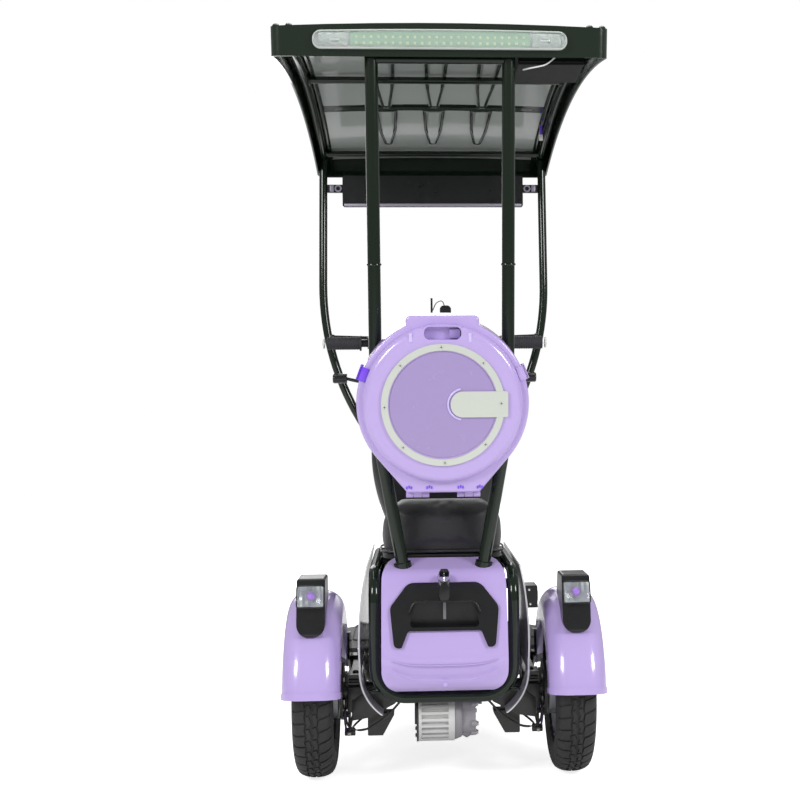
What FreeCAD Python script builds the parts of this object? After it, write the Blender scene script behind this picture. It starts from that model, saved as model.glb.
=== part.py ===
import FreeCAD, Part
import math
import os

os.makedirs("parts", exist_ok=True)

V = FreeCAD.Vector

# Electric tricycle with one steered front wheel, a saddle on a hinge, a round
# rear box on two posts and an arched roof on four posts. Sizes are millimetres,
# X to the right, Y forward from the rear axle, Z up from the ground. The export
# at the end moves the whole model so that Y is zero half-way along it.

# Wheels
TRACK = 572.0
WHEELBASE = 1110.0
TYRE_R = 188.0
TYRE_W = 90.0
TYRE_DEPTH = 62.0
BEAD_R = TYRE_R - TYRE_DEPTH
RIM_HALF = 31.0
HUB_R = 30.0
HUB_HALF = 30.0
SPINDLE_R = 9.0
DRUM_R = BEAD_R - 66.0
SPOKES = 5

# Clearances
FIT_GAP = 0.3
PIN_GAP = 0.1
RUN_GAP = 5.0
SKIN_GAP = 2.0

# Rear axle, springs and drive
AXLE_END_X = TRACK / 2.0 - 54.0
AXLE_TUBE_R = 21.0
BRAKE_PLATE_R = DRUM_R + 4.0
BRAKE_PLATE_T = 6.0
SPRING_X = TRACK / 2.0 - 87.0
SPRING_W = 28.0
SPRING_T = 12.0
SPRING_REAR_Y = -42.0
SPRING_FRONT_Y = 262.0
MOTOR_R = 60.0
MOTOR_FIN = 9.0
MOTOR_FINS = 26
MOTOR_Y = -76.0
MOTOR_Z = TYRE_R - 38.0
MOTOR_LEFT_X = -57.0
GEARBOX_LEFT_X = 22.0
GEARBOX_RIGHT_X = 86.0
SKID_MID_X = (GEARBOX_RIGHT_X + AXLE_END_X) / 2.0 - 18.0
SKID_X = (SKID_MID_X - 31.0, SKID_MID_X + 31.0)
SKID_Z = (TYRE_R - 98.0, TYRE_R - 48.0)
CABLE_R = 2.5

# Frame
HOOP_R = 12.5
HOOP_X = TRACK / 2.0 - 135.0
HOOP_Y = -150.0
HOOP_Z = TYRE_R + 13.0
HOOP_CORNER_R = 68.0
RAIL_R = 16.0
RAIL_X = HOOP_X - 61.0
RAIL_Z = TYRE_R + 7.0
RAIL_REAR_Y = 70.0
RAIL_FRONT_Y = WHEELBASE - 375.0
DOWN_R = 19.0
DOWN_BEND_R = 260.0
CROSS_R = 13.0
CROSS_Z = TYRE_R + AXLE_TUBE_R - CROSS_R
OUTRIGGER_Y = 240.0
OUTRIGGER_X = TRACK / 2.0 - 65.0
LEG_CROSS_Y = 405.0
SEAT_RAIL_Z = 470.0
SEAT_RAIL_FRONT_Y = 345.0
POST_CROSS_Z = 438.0
POST_CROSS_R = 11.0
SEAT_CROSS_R = 10.0
LUG_X = (40.0, 46.0)
LUG_GAP = 0.5

# Roof, wide enough for the front posts to pass outside the handlebar
ROOF_X = TRACK / 2.0 + 64.0
ROOF_Y = (-292.0, WHEELBASE - 60.0)
ROOF_R = 3300.0
ROOF_MID_Y = (ROOF_Y[0] + ROOF_Y[1]) / 2.0 - 24.0
ROOF_EDGE_Z = 1617.0
ROOF_SKIRT = 60.0
ROOF_CROWN = 8.0
ROOF_T = 4.0
ROOF_CORNER_R = 24.0
ROOF_CROSS_R = 9.0
ROOF_RIB_T = 5.0
LIGHT_X = ROOF_X - 87.0
LIGHT_T = 18.0
LIGHT_Z = (1565.0, 1605.0)
ROOF_BOX_X = (164.0, 304.0)
ROOF_BOX_Y = (-262.0, -112.0)
ROOF_BOX_Z = 1546.0
VISOR_X = ROOF_X - 77.0
VISOR_Z = (1445.0, 1539.0)

# Steering
RAKE = 15.0
STEER_Y = WHEELBASE - 230.0
STEER_Z = 1000.0
STEERER_R = 14.0
HEAD_R = 22.0
HEAD_Z = (520.0, 660.0)
FORK_X = 73.0
FORK_R = 14.0
SLIDER_R = 18.0
CROWN_Z = TYRE_R + 252.0
BAR_R = 11.0
GRIP_R = 18.0
GRIP_X = (ROOF_X - 136.0, ROOF_X - 42.0)
GRIP_Y = STEER_Y - 30.0
GRIP_Z = 1024.0
PERCH_X = (GRIP_X[0] - 46.0, GRIP_X[0] - 18.0)
LEVER_R = 5.0
LEVER_BALL_R = 7.5

# Floor and panels
FLOOR_X = TRACK / 2.0 - 14.0
FLOOR_Y = (330.0, WHEELBASE - 358.0)
FLOOR_TOP_Z = RAIL_Z + 33.0
FLOOR_UNDER_Z = RAIL_Z + RAIL_R + FIT_GAP
FLOOR_EDGE = 35.0
MAT_T = 2.0
WALL = 3.0
COVER_X = HOOP_X - 16.0
COVER_Z = (HOOP_Z + 14.0, 494.0)
COVER_FRONT_Y = -66.0
COVER_WALL = 3.5
PLATE_T = 6.0
POCKET_X = 76.0
POCKET_Z = (359.0, 412.0)
POCKET_DEPTH = 42.0
PANEL_TOP_Z = 480.0
PANEL_REAR_Y = -128.0
PANEL_FRONT_Y = 424.0
PANEL_LOW_Z = RAIL_Z - 37.0

# Fenders and lamps
FENDER_R = TYRE_R + 40.0
FENDER_W = 124.0
FENDER_T = 4.0
FENDER_CORNER_R = 45.0
FENDER_SKIRT = 78.0
FENDER_TURNS = (83.5, 79.5)
FENDER_LIP = 1.6
FENDER_LIP_TURN = 4.0
FRONT_FENDER_TURNS = (78.0, 46.0)
STAY_T = 5.0
FRONT_FENDER_R = TYRE_R + 18.0
FRONT_FENDER_W = 108.0
LAMP_W = 61.0
LAMP_Z = (TYRE_R + 150.0, TYRE_R + 274.0)
LENS_Z = (TYRE_R + 216.0, TYRE_R + 260.0)

# Seat
SEAT_X = HOOP_X - 6.0
SEAT_REAR_Y = -62.0
SEAT_FRONT_Y = 440.0
SEAT_BOTTOM_Z = 490.0
SEAT_PAN_T = 10.0
SEAT_TOP_Z = 620.0
SEAT_HINGE_Y = 400.0
SEAT_HINGE_Z = 478.0
SEAT_LUG_R = 8.0
SEAT_PIN_R = 4.0

# Posts
REAR_POST_R = 14.0
REAR_POST = ((HOOP_X - 62.0, -100.0, 480.0), (HOOP_X - 7.0, -127.0, 790.0), (HOOP_X - 7.0, -262.0, 1580.0))
REAR_POST_BEND_R = 320.0
FRONT_POST_R = 12.5
FRONT_POST_X = ROOF_X - 20.0
FRONT_POST_Y = WHEELBASE - 110.0
FRONT_POST_BEND_R = 780.0
FRONT_KNEE = (ROOF_X - 14.0, 960.0)
POST_BAR_Z = 545.0
POST_BAR_X = 52.0
COLLAR_R = 19.0
COLLAR_LENGTH = 42.0
COLLAR_DROP = 34.0
COLLAR_STOP = 8.0

# Round box on the rear posts
BOX_R = 183.0
BOX_Z = 851.0
BOX_FOOT_Z = 658.0
BOX_FOOT_X = 77.0
BOX_TOP_Z = 1038.0
BOX_WALL = 3.0
BOX_BODY_T = 38.0
BOX_STAY = 12.0
BOX_LID_T = 42.0
BOX_EDGE_R = 6.0
BULGE_R = 170.0
BULGE_T = 17.0
BULGE_EDGE_R = 16.0
RING_OUT_R = 130.0
RING_IN_R = 116.0
RING_T = 4.0
TAB_Z = (825.0, 880.0)
BOX_HINGE_R = 7.0
BOX_PIN_R = 3.0
LATCH_ANGLE = 21.0
PAD_R = 160.0
PAD_T = 34.0
PAD_Z = 800.0

ORIGIN_Y = (ROOF_Y[0] - LIGHT_T + WHEELBASE + TYRE_R) / 2.0
X_AXIS = V(1, 0, 0)
Y_AXIS = V(0, 1, 0)
Z_AXIS = V(0, 0, 1)
nodes = {}


def box(x_range, y_range, z_range):
    corner = V(x_range[0], y_range[0], z_range[0])
    return Part.makeBox(x_range[1] - x_range[0], y_range[1] - y_range[0], z_range[1] - z_range[0], corner)


def rod(start, end, radius):
    start, end = V(*start), V(*end)
    return Part.makeCylinder(radius, (end - start).Length, start, end - start)


def fused(shapes, merge_faces=True):
    shapes = list(shapes)
    if len(shapes) == 1:
        return shapes[0]
    whole = shapes[0].multiFuse(shapes[1:])
    if not merge_faces:
        return whole
    tidy = whole.removeSplitter()
    return tidy if tidy.isValid() else whole


def both_sides(shape):
    """The shape and its mirror image across the middle plane, as one compound."""
    return Part.makeCompound(shape.Solids + shape.mirror(V(0, 0, 0), X_AXIS).Solids)


def bend_points(points, radii):
    """Straight runs and tangent arcs through the points, as (start, middle, end) rows."""
    rows = []
    last = points[0]
    for index in range(1, len(points) - 1):
        corner = points[index]
        back = (points[index - 1] - corner).normalize()
        ahead = (points[index + 1] - corner).normalize()
        half = back.getAngle(ahead) / 2.0
        radius = radii[index - 1]
        reach = radius / math.tan(half)
        inward = (back + ahead).normalize()
        start = corner + back * reach
        end = corner + ahead * reach
        middle = corner + inward * (radius / math.sin(half) - radius)
        rows.append((last, None, start))
        rows.append((start, middle, end))
        last = end
    rows.append((last, None, points[-1]))
    return rows


def tube(points, radius, bends=()):
    """A round bar along straight runs joined by tangent arcs."""
    points = [V(*point) for point in points]
    pieces = []
    for start, middle, end in bend_points(points, bends):
        if middle is None:
            pieces.append(rod(start, end, radius))
            last_run = end - start
            continue
        arc = Part.Arc(start, middle, end).toShape()
        ring = Part.Face(Part.Wire([Part.makeCircle(radius, start, last_run)]))
        turn = math.degrees(arc.LastParameter - arc.FirstParameter)
        pieces.append(ring.revolve(arc.Curve.Center, arc.Curve.Axis, turn))
    return fused(pieces)


def outline(rows, plane, at=0.0):
    """A closed wire; each row is (u, v, corner radius) in the plane XZ, YZ or XY."""
    place = {
        "XZ": lambda u, v: V(u, at, v),
        "YZ": lambda u, v: V(at, u, v),
        "XY": lambda u, v: V(u, v, at),
    }[plane]
    corners = [place(row[0], row[1]) for row in rows]
    count = len(rows)
    starts, ends, edges = [], [], []
    for index in range(count):
        corner, radius = corners[index], rows[index][2]
        if radius == 0:
            starts.append(corner)
            ends.append(corner)
            continue
        back = (corners[index - 1] - corner).normalize()
        ahead = (corners[(index + 1) % count] - corner).normalize()
        half = back.getAngle(ahead) / 2.0
        reach = radius / math.tan(half)
        inward = (back + ahead).normalize()
        starts.append(corner + back * reach)
        ends.append(corner + ahead * reach)
        middle = corner + inward * (radius / math.sin(half) - radius)
        edges.append((index, Part.Arc(starts[-1], middle, ends[-1]).toShape()))
    arcs = dict(edges)
    path = []
    for index in range(count):
        if index in arcs:
            path.append(arcs[index])
        following = starts[(index + 1) % count]
        if (following - ends[index]).Length > 1e-6:
            path.append(Part.LineSegment(ends[index], following).toShape())
    return Part.Wire(path)


def prism(rows, plane, start, end):
    """The outline pushed from start to end along the plane's normal."""
    normal = {"XZ": Y_AXIS, "YZ": X_AXIS, "XY": Z_AXIS}[plane]
    return Part.Face(outline(rows, plane, start)).extrude(normal * (end - start))


def lathe(rows, centre, axis=X_AXIS):
    """Rows of (along the X axis, radius, corner radius), turned about X, then moved to the centre."""
    face = Part.Face(outline(rows, "XZ"))
    solid = face.revolve(V(0, 0, 0), X_AXIS, 360)
    if (axis - X_AXIS).Length > 1e-9:
        solid.rotate(V(0, 0, 0), X_AXIS.cross(axis), math.degrees(X_AXIS.getAngle(axis)))
    solid.translate(V(*centre))
    return solid


def turned(shape, axis_point, axis, angle):
    shape = shape.copy()
    shape.rotate(V(*axis_point), axis, angle)
    return shape


# Wheels: tyre and cast rim, each turned about X. The rear rims carry the brake drum.
def tyre_at(centre):
    side = TYRE_W / 2.0
    rows = (
        (-28.0, BEAD_R, 0), (28.0, BEAD_R, 0), (side, BEAD_R + 26.0, 16.0),
        (side - 5.0, TYRE_R - 10.0, 12.0), (18.0, TYRE_R, 30.0), (-18.0, TYRE_R, 30.0),
        (5.0 - side, TYRE_R - 10.0, 12.0), (-side, BEAD_R + 26.0, 16.0),
    )
    return lathe(rows, centre)


def rim_at(centre, inner_side=0):
    """Cast rim; inner_side is the X direction in which the brake drum stands, or 0."""
    barrel_out = BEAD_R - FIT_GAP
    barrel_in = BEAD_R - 9.0
    barrel = lathe((
        (-RIM_HALF, barrel_in, 0), (RIM_HALF, barrel_in, 0), (RIM_HALF, barrel_out, 2.0),
        (-RIM_HALF, barrel_out, 2.0),
    ), (0, 0, 0))
    web_x = (-6.0, 6.0)
    web = rod((web_x[0], 0, 0), (web_x[1], 0, 0), barrel_in + 1.0)
    window_rows = []
    for radius, half_angle in ((HUB_R + 12.0, 15.0), (barrel_in - 10.0, 25.0)):
        for sign in ((-1, 1) if radius < barrel_in / 2.0 else (1, -1)):
            turn = math.radians(sign * half_angle)
            window_rows.append((radius * math.sin(turn), radius * math.cos(turn), 7.0))
    window = prism(window_rows, "YZ", web_x[0] - 1.0, web_x[1] + 1.0)
    windows = [turned(window, (0, 0, 0), X_AXIS, 360.0 / SPOKES * index) for index in range(SPOKES)]
    web = web.cut(Part.makeCompound(windows))
    hub = rod((-HUB_HALF, 0, 0), (HUB_HALF, 0, 0), HUB_R)
    pieces = [barrel, web, hub]
    if inner_side:
        drum_end = TRACK / 2.0 - (AXLE_END_X + RUN_GAP)
        pieces.append(rod((inner_side * 10.0, 0, 0), (inner_side * drum_end, 0, 0), DRUM_R))
    bore = rod((-90.0, 0, 0), (90.0, 0, 0), SPINDLE_R + PIN_GAP)
    rim = fused(pieces).cut(bore)
    rim.translate(V(*centre))
    return rim


REAR_WHEELS = (("left", -1), ("right", 1))
for side_name, side in REAR_WHEELS:
    wheel_centre = (side * TRACK / 2.0, 0, TYRE_R)
    nodes["tyre_rear_" + side_name] = tyre_at(wheel_centre)
    nodes["rim_rear_" + side_name] = rim_at(wheel_centre, -side)
front_centre = (0, WHEELBASE, TYRE_R)
nodes["tyre_front"] = tyre_at(front_centre)
nodes["rim_front"] = rim_at(front_centre)

# Rear axle: two tube halves on the gearbox, each with spindle, brake plate and skid bracket.
axle_rod = rod((GEARBOX_RIGHT_X, 0, TYRE_R), (AXLE_END_X - BRAKE_PLATE_T, 0, TYRE_R), AXLE_TUBE_R)
left_axle_rod = rod((-AXLE_END_X + BRAKE_PLATE_T, 0, TYRE_R), (GEARBOX_LEFT_X, 0, TYRE_R), AXLE_TUBE_R)
brake_plate = rod((AXLE_END_X - BRAKE_PLATE_T, 0, TYRE_R), (AXLE_END_X, 0, TYRE_R), BRAKE_PLATE_R)
hub_out_x = TRACK / 2.0 + HUB_HALF
spindle = rod((AXLE_END_X, 0, TYRE_R), (hub_out_x + 14.0, 0, TYRE_R), SPINDLE_R)
nut = rod((hub_out_x + 2.0, 0, TYRE_R), (hub_out_x + 12.0, 0, TYRE_R), SPINDLE_R + 6.0)
skid_arm = box((SKID_X[0] + 20.0, SKID_X[1] - 12.0), (-12.0, 12.0), (SKID_Z[1] - 5.0, TYRE_R - 12.0))
skid = prism((
    (SKID_X[0], SKID_Z[1], 3.0), (SKID_X[0] + 28.0, SKID_Z[0], 3.0), (SKID_X[1], SKID_Z[0], 3.0),
    (SKID_X[1], SKID_Z[1], 3.0),
), "XZ", -22.0, 22.0)
brake_cam = rod((AXLE_END_X - BRAKE_PLATE_T - 16.0, -14.0, TYRE_R - 50.0),
                (AXLE_END_X - BRAKE_PLATE_T, -14.0, TYRE_R - 50.0), 7.0)
brake_arm = prism((
    (-23.0, TYRE_R - 43.0, 6.0), (-24.0, TYRE_R - 94.0, 4.0), (-10.0, TYRE_R - 94.0, 4.0), (-5.0, TYRE_R - 43.0, 6.0),
), "YZ", AXLE_END_X - BRAKE_PLATE_T - 16.0, AXLE_END_X - BRAKE_PLATE_T - 10.0)
end_pieces = [brake_plate, spindle, nut, skid_arm, skid, brake_cam, brake_arm]
right_half = fused([axle_rod] + end_pieces)
left_half = fused([left_axle_rod] + [piece.mirror(V(0, 0, 0), X_AXIS) for piece in end_pieces])
nodes["rear_axle"] = Part.makeCompound([left_half, right_half])

# Leaf springs: a stack of three leaves each side, from the outrigger back to the axle.
leaf_bottom_z = TYRE_R + AXLE_TUBE_R + FIT_GAP
leaf_step = SPRING_T / 3.0
leaves = []
for index, shorter in enumerate((0.0, 26.0, 60.0)):
    leaf_z = leaf_bottom_z + leaf_step * index
    leaves.append(box((SPRING_X - SPRING_W / 2.0, SPRING_X + SPRING_W / 2.0),
                      (SPRING_REAR_Y + shorter / 3.0, SPRING_FRONT_Y - shorter / 3.0),
                      (leaf_z, leaf_z + leaf_step)))
leaf_stack = fused(leaves)
nodes["leaf_springs"] = both_sides(leaf_stack)


def spring_clamp(at_y, half_y, low_z, over_tube_z, tube_r):
    """A block round the tube and the leaves, with a domed bolt on top."""
    reach = SPRING_W / 2.0 + 3.5
    top_z = leaf_bottom_z + SPRING_T + 8.0
    block = box((SPRING_X - reach, SPRING_X + reach), (at_y - half_y, at_y + half_y), (low_z, top_z))
    hollow = rod((SPRING_X - 60.0, at_y, over_tube_z), (SPRING_X + 60.0, at_y, over_tube_z), tube_r + FIT_GAP)
    slot = box((SPRING_X - SPRING_W / 2.0 - FIT_GAP, SPRING_X + SPRING_W / 2.0 + FIT_GAP),
               (at_y - 90.0, at_y + 90.0), (leaf_bottom_z - FIT_GAP, leaf_bottom_z + SPRING_T + FIT_GAP))
    dome = Part.makeSphere(8.0, V(SPRING_X, at_y, top_z - 2.0), Z_AXIS, 0, 90, 360)
    return fused([block.cut(hollow).cut(slot), dome])


clamps = [
    spring_clamp(0.0, 30.0, TYRE_R - 32.0, TYRE_R, AXLE_TUBE_R),
    spring_clamp(OUTRIGGER_Y, 20.0, CROSS_Z - 22.0, CROSS_Z, CROSS_R),
]
nodes["spring_clamps"] = both_sides(Part.makeCompound([solid for clamp in clamps for solid in clamp.Solids]))

# Motor: finned alloy case with its axis along X, bolted to the gearbox's left side.
fin_rows = []
for index in range(MOTOR_FINS):
    for share, radius in ((0.0, MOTOR_R), (0.35, MOTOR_R), (0.5, MOTOR_R - MOTOR_FIN), (0.85, MOTOR_R - MOTOR_FIN)):
        turn = 2.0 * math.pi * (index + share) / MOTOR_FINS
        fin_rows.append((MOTOR_Y + radius * math.cos(turn), MOTOR_Z + radius * math.sin(turn), 0))
motor_fins = prism(fin_rows, "YZ", MOTOR_LEFT_X + 6.0, GEARBOX_LEFT_X - 14.0)
motor_end = rod((GEARBOX_LEFT_X - 14.0, MOTOR_Y, MOTOR_Z), (GEARBOX_LEFT_X - FIT_GAP, MOTOR_Y, MOTOR_Z), MOTOR_R)
motor_plate = rod((MOTOR_LEFT_X, MOTOR_Y, MOTOR_Z), (MOTOR_LEFT_X + 6.0, MOTOR_Y, MOTOR_Z), MOTOR_R)
nodes["motor"] = fused([motor_fins, motor_end, motor_plate])

# Gearbox: casting round the axle and the motor shaft.
gear_rows = (
    (MOTOR_Y - 46.0, MOTOR_Z - 36.0, 26.0), (MOTOR_Y + 30.0, MOTOR_Z - 46.0, 20.0), (50.0, TYRE_R - 52.0, 30.0),
    (52.0, TYRE_R + 42.0, 34.0), (-30.0, TYRE_R + 50.0, 30.0), (MOTOR_Y - 40.0, MOTOR_Z + 34.0, 22.0),
)
gear_case = prism(gear_rows, "YZ", GEARBOX_LEFT_X, GEARBOX_RIGHT_X - 18.0)
gear_boss = rod((GEARBOX_RIGHT_X - 18.0, 0, TYRE_R), (GEARBOX_RIGHT_X, 0, TYRE_R), AXLE_TUBE_R + 15.0)
gearbox = fused([gear_case, gear_boss])
nodes["gearbox"] = gearbox

# Main frame: two floor rails, cross tubes, the down tube and the head tube.


def steer_point(z):
    """The point of the steering axis at the height z."""
    return V(0, STEER_Y + (STEER_Z - z) * math.tan(math.radians(RAKE)), z)


steer_axis = V(0, -math.sin(math.radians(RAKE)), math.cos(math.radians(RAKE)))


def steer_rod(z_low, z_high, radius):
    low, high = steer_point(z_low), steer_point(z_high)
    return Part.makeCylinder(radius, (high - low).Length, low, steer_axis)


rails = [tube(((side * RAIL_X, RAIL_REAR_Y, RAIL_Z), (side * RAIL_X, RAIL_FRONT_Y, RAIL_Z)), RAIL_R)
         for side in (-1, 1)]
crosses = []
for cross_y, cross_x in ((RAIL_REAR_Y + 14.0, RAIL_X + 6.0), (OUTRIGGER_Y, OUTRIGGER_X),
                         (LEG_CROSS_Y, HOOP_X + 16.0), (RAIL_FRONT_Y - 155.0, FLOOR_X - 30.0), (RAIL_FRONT_Y - 15.0, RAIL_X + 6.0)):
    crosses.append(rod((-cross_x, cross_y, CROSS_Z), (cross_x, cross_y, CROSS_Z), CROSS_R))
head_mid = steer_point((HEAD_Z[0] + HEAD_Z[1]) / 2.0)
DOWN_TUBE = ((0, RAIL_FRONT_Y - 15.0, RAIL_Z), (0, STEER_Y - 30.0, CROWN_Z - 50.0), tuple(head_mid))
down_tube = tube(DOWN_TUBE, DOWN_R, (DOWN_BEND_R,))
head = steer_rod(HEAD_Z[0], HEAD_Z[1], HEAD_R)
head_bore = steer_rod(HEAD_Z[0] - 20.0, HEAD_Z[1] + 20.0, STEERER_R + 1.0)
stay_x = TRACK / 2.0 - FENDER_W / 2.0 - FIT_GAP
stays = []
for side in (-1, 1):
    ends = sorted((side * (stay_x - STAY_T), side * stay_x))
    stays.append(prism((
        (120.0, TYRE_R + 50.0, 10.0), (OUTRIGGER_Y - 12.0, RAIL_Z - 16.0, 8.0), (OUTRIGGER_Y + 16.0, RAIL_Z - 16.0, 8.0),
        (OUTRIGGER_Y + 16.0, RAIL_Z + 14.0, 8.0), (205.0, TYRE_R + 102.0, 14.0), (130.0, TYRE_R + 112.0, 14.0),
    ), "YZ", ends[0], ends[1]))
head_ring = head.cut(head_bore)
down_end = steer_rod(HEAD_Z[0] - 20.0, HEAD_Z[1] + 20.0, (STEERER_R + 1.0 + HEAD_R) / 2.0)
nodes["main_frame"] = fused(rails + crosses + [down_tube.cut(down_end), head_ring] + stays, merge_faces=False)

# Seat frame: the rear hoop, the seat rails and legs, cross tubes, post collars and hinge lugs.
hoop_half = [
    (0, HOOP_Y, HOOP_Z), (HOOP_X, HOOP_Y, HOOP_Z), (HOOP_X, HOOP_Y, SEAT_RAIL_Z),
    (HOOP_X, SEAT_RAIL_FRONT_Y, SEAT_RAIL_Z), (HOOP_X, LEG_CROSS_Y, CROSS_Z),
]
hoop_bends = (HOOP_CORNER_R, 62.0, 60.0)
hoop_side = tube(hoop_half, HOOP_R, hoop_bends)
leg_seat = rod((-OUTRIGGER_X, LEG_CROSS_Y, CROSS_Z), (OUTRIGGER_X, LEG_CROSS_Y, CROSS_Z), CROSS_R + FIT_GAP)
hoop_side = hoop_side.cut(leg_seat)
hoop_other = hoop_side.mirror(V(0, 0, 0), X_AXIS)
post_cross = rod((-HOOP_X, -98.0, POST_CROSS_Z), (HOOP_X, -98.0, POST_CROSS_Z), POST_CROSS_R)
post_ties = [tube(((side * HOOP_X, -98.0, POST_CROSS_Z), (side * HOOP_X, -98.0, SEAT_RAIL_Z)), 9.0) for side in (-1, 1)]
hinge_cross_y = SEAT_RAIL_FRONT_Y - 15.0
hinge_cross = rod((-HOOP_X, hinge_cross_y, SEAT_RAIL_Z), (HOOP_X, hinge_cross_y, SEAT_RAIL_Z), SEAT_CROSS_R)
seat_cross = rod((-HOOP_X, 120.0, SEAT_RAIL_Z), (HOOP_X, 120.0, SEAT_RAIL_Z), SEAT_CROSS_R)

lugs, seat_lugs = [], []
for side in (-1, 1):
    lug_x = sorted((side * LUG_X[0], side * LUG_X[1]))
    arm = box(lug_x, (hinge_cross_y, SEAT_HINGE_Y), (SEAT_HINGE_Z - SEAT_LUG_R, SEAT_HINGE_Z + SEAT_LUG_R))
    eye = rod((lug_x[0], SEAT_HINGE_Y, SEAT_HINGE_Z), (lug_x[1], SEAT_HINGE_Y, SEAT_HINGE_Z), SEAT_LUG_R)
    pin = rod((side * LUG_X[0], SEAT_HINGE_Y, SEAT_HINGE_Z), (side * (LUG_X[1] + 14.0), SEAT_HINGE_Y, SEAT_HINGE_Z),
              SEAT_PIN_R)
    lugs += [arm, eye, pin]
    outer_x = sorted((side * (LUG_X[1] + LUG_GAP), side * (LUG_X[1] + LUG_GAP + 6.0)))
    seat_eye = rod((outer_x[0], SEAT_HINGE_Y, SEAT_HINGE_Z), (outer_x[1], SEAT_HINGE_Y, SEAT_HINGE_Z), SEAT_LUG_R)
    seat_arm = box(outer_x, (SEAT_HINGE_Y - SEAT_LUG_R, SEAT_HINGE_Y + SEAT_LUG_R), (SEAT_HINGE_Z, SEAT_BOTTOM_Z))
    seat_bore = rod((outer_x[0] - 1.0, SEAT_HINGE_Y, SEAT_HINGE_Z), (outer_x[1] + 1.0, SEAT_HINGE_Y, SEAT_HINGE_Z),
                    SEAT_PIN_R + PIN_GAP)
    seat_lugs.append(fused([seat_eye, seat_arm]).cut(seat_bore))

post_foot = V(*REAR_POST[0])
post_knee = V(*REAR_POST[1])
post_run = (post_knee - post_foot).normalize()
collar_low = post_foot - post_run * COLLAR_DROP
collars, post_bores = [], []
for side in (-1, 1):
    low = V(side * collar_low.x, collar_low.y, collar_low.z)
    run = V(side * post_run.x, post_run.y, post_run.z)
    collars.append(Part.makeCylinder(COLLAR_R, COLLAR_LENGTH, low, run))
    post_bores.append(Part.makeCylinder(REAR_POST_R + FIT_GAP, 60.0, low + run * COLLAR_STOP, run))
seat_frame = fused([hoop_side, hoop_other, post_cross, hinge_cross, seat_cross] + post_ties + lugs + collars)
nodes["seat_frame"] = seat_frame.cut(Part.makeCompound(post_bores))

# Rear posts: from the collars up through one bend to the roof, tied by a tube at the top.
post_start = post_foot - post_run * (COLLAR_DROP - COLLAR_STOP - FIT_GAP)
rear_posts = []
for side in (-1, 1):
    points = [(side * post_start.x, post_start.y, post_start.z)]
    points += [(side * x, y, z) for x, y, z in REAR_POST[1:]]
    rear_posts.append(tube(points, REAR_POST_R, (REAR_POST_BEND_R,)))
post_top = REAR_POST[2]
rear_tie = rod((-post_top[0], post_top[1] + 3.0, post_top[2] - 24.0), (post_top[0], post_top[1] + 3.0, post_top[2] - 24.0),
               ROOF_CROSS_R)
nodes["rear_posts"] = fused(rear_posts + [rear_tie])

# Battery: one plain block on the floor rails, under the seat.
nodes["battery"] = prism((
    (-RAIL_X - 15.0, RAIL_REAR_Y + 2.0, 12.0), (RAIL_X + 15.0, RAIL_REAR_Y + 2.0, 12.0),
    (RAIL_X + 15.0, FLOOR_Y[0] - 8.0, 12.0), (-RAIL_X - 15.0, FLOOR_Y[0] - 8.0, 12.0),
), "XY", RAIL_Z + RAIL_R + FIT_GAP, 440.0)

# Footboard: a thick plate with round corners and a turned-down edge, notched round the seat legs.
floor_rows = (
    (-FLOOR_X, FLOOR_Y[0], 42.0), (FLOOR_X, FLOOR_Y[0], 42.0), (FLOOR_X, FLOOR_Y[1] - 112.0, 60.0),
    (FLOOR_X - 102.0, FLOOR_Y[1], 60.0), (102.0 - FLOOR_X, FLOOR_Y[1], 60.0), (-FLOOR_X, FLOOR_Y[1] - 112.0, 60.0),
)
floor = prism(floor_rows, "XY", FLOOR_UNDER_Z, FLOOR_TOP_Z)
mat = prism((
    (-FLOOR_X + 44.0, PANEL_FRONT_Y + 16.0, 30.0), (FLOOR_X - 44.0, PANEL_FRONT_Y + 16.0, 30.0),
    (FLOOR_X - 44.0, FLOOR_Y[1] - 122.0, 40.0), (FLOOR_X - 90.0, FLOOR_Y[1] - 60.0, 40.0),
    (90.0 - FLOOR_X, FLOOR_Y[1] - 60.0, 40.0), (44.0 - FLOOR_X, FLOOR_Y[1] - 122.0, 40.0),
), "XY", FLOOR_TOP_Z - 1.0, FLOOR_TOP_Z + MAT_T)
apron_wire = outline(floor_rows, "XY", FLOOR_TOP_Z - FLOOR_EDGE - 10.0)
edge_outer = Part.Face(apron_wire).extrude(Z_AXIS * FLOOR_EDGE)
edge_inner = Part.Face(apron_wire.makeOffset2D(-WALL)).extrude(Z_AXIS * FLOOR_EDGE)
leg_holes = [tube(((side * HOOP_X, SEAT_RAIL_FRONT_Y, SEAT_RAIL_Z), (side * HOOP_X, LEG_CROSS_Y, RAIL_Z)),
                  HOOP_R + SKIN_GAP) for side in (-1, 1)]
below_floor = (RAIL_Z - RAIL_R - SKIN_GAP, FLOOR_UNDER_Z)
rail_slots = [box((side * RAIL_X - RAIL_R - SKIN_GAP, side * RAIL_X + RAIL_R + SKIN_GAP),
                  (FLOOR_Y[0] - 10.0, FLOOR_Y[1] + 10.0), below_floor) for side in (-1, 1)]
down_hole = tube(DOWN_TUBE, DOWN_R + SKIN_GAP, (DOWN_BEND_R,))
nodes["footboard"] = fused([floor, mat, edge_outer.cut(edge_inner)]).cut(
    Part.makeCompound(leg_holes + rail_slots + [down_hole]))

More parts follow.
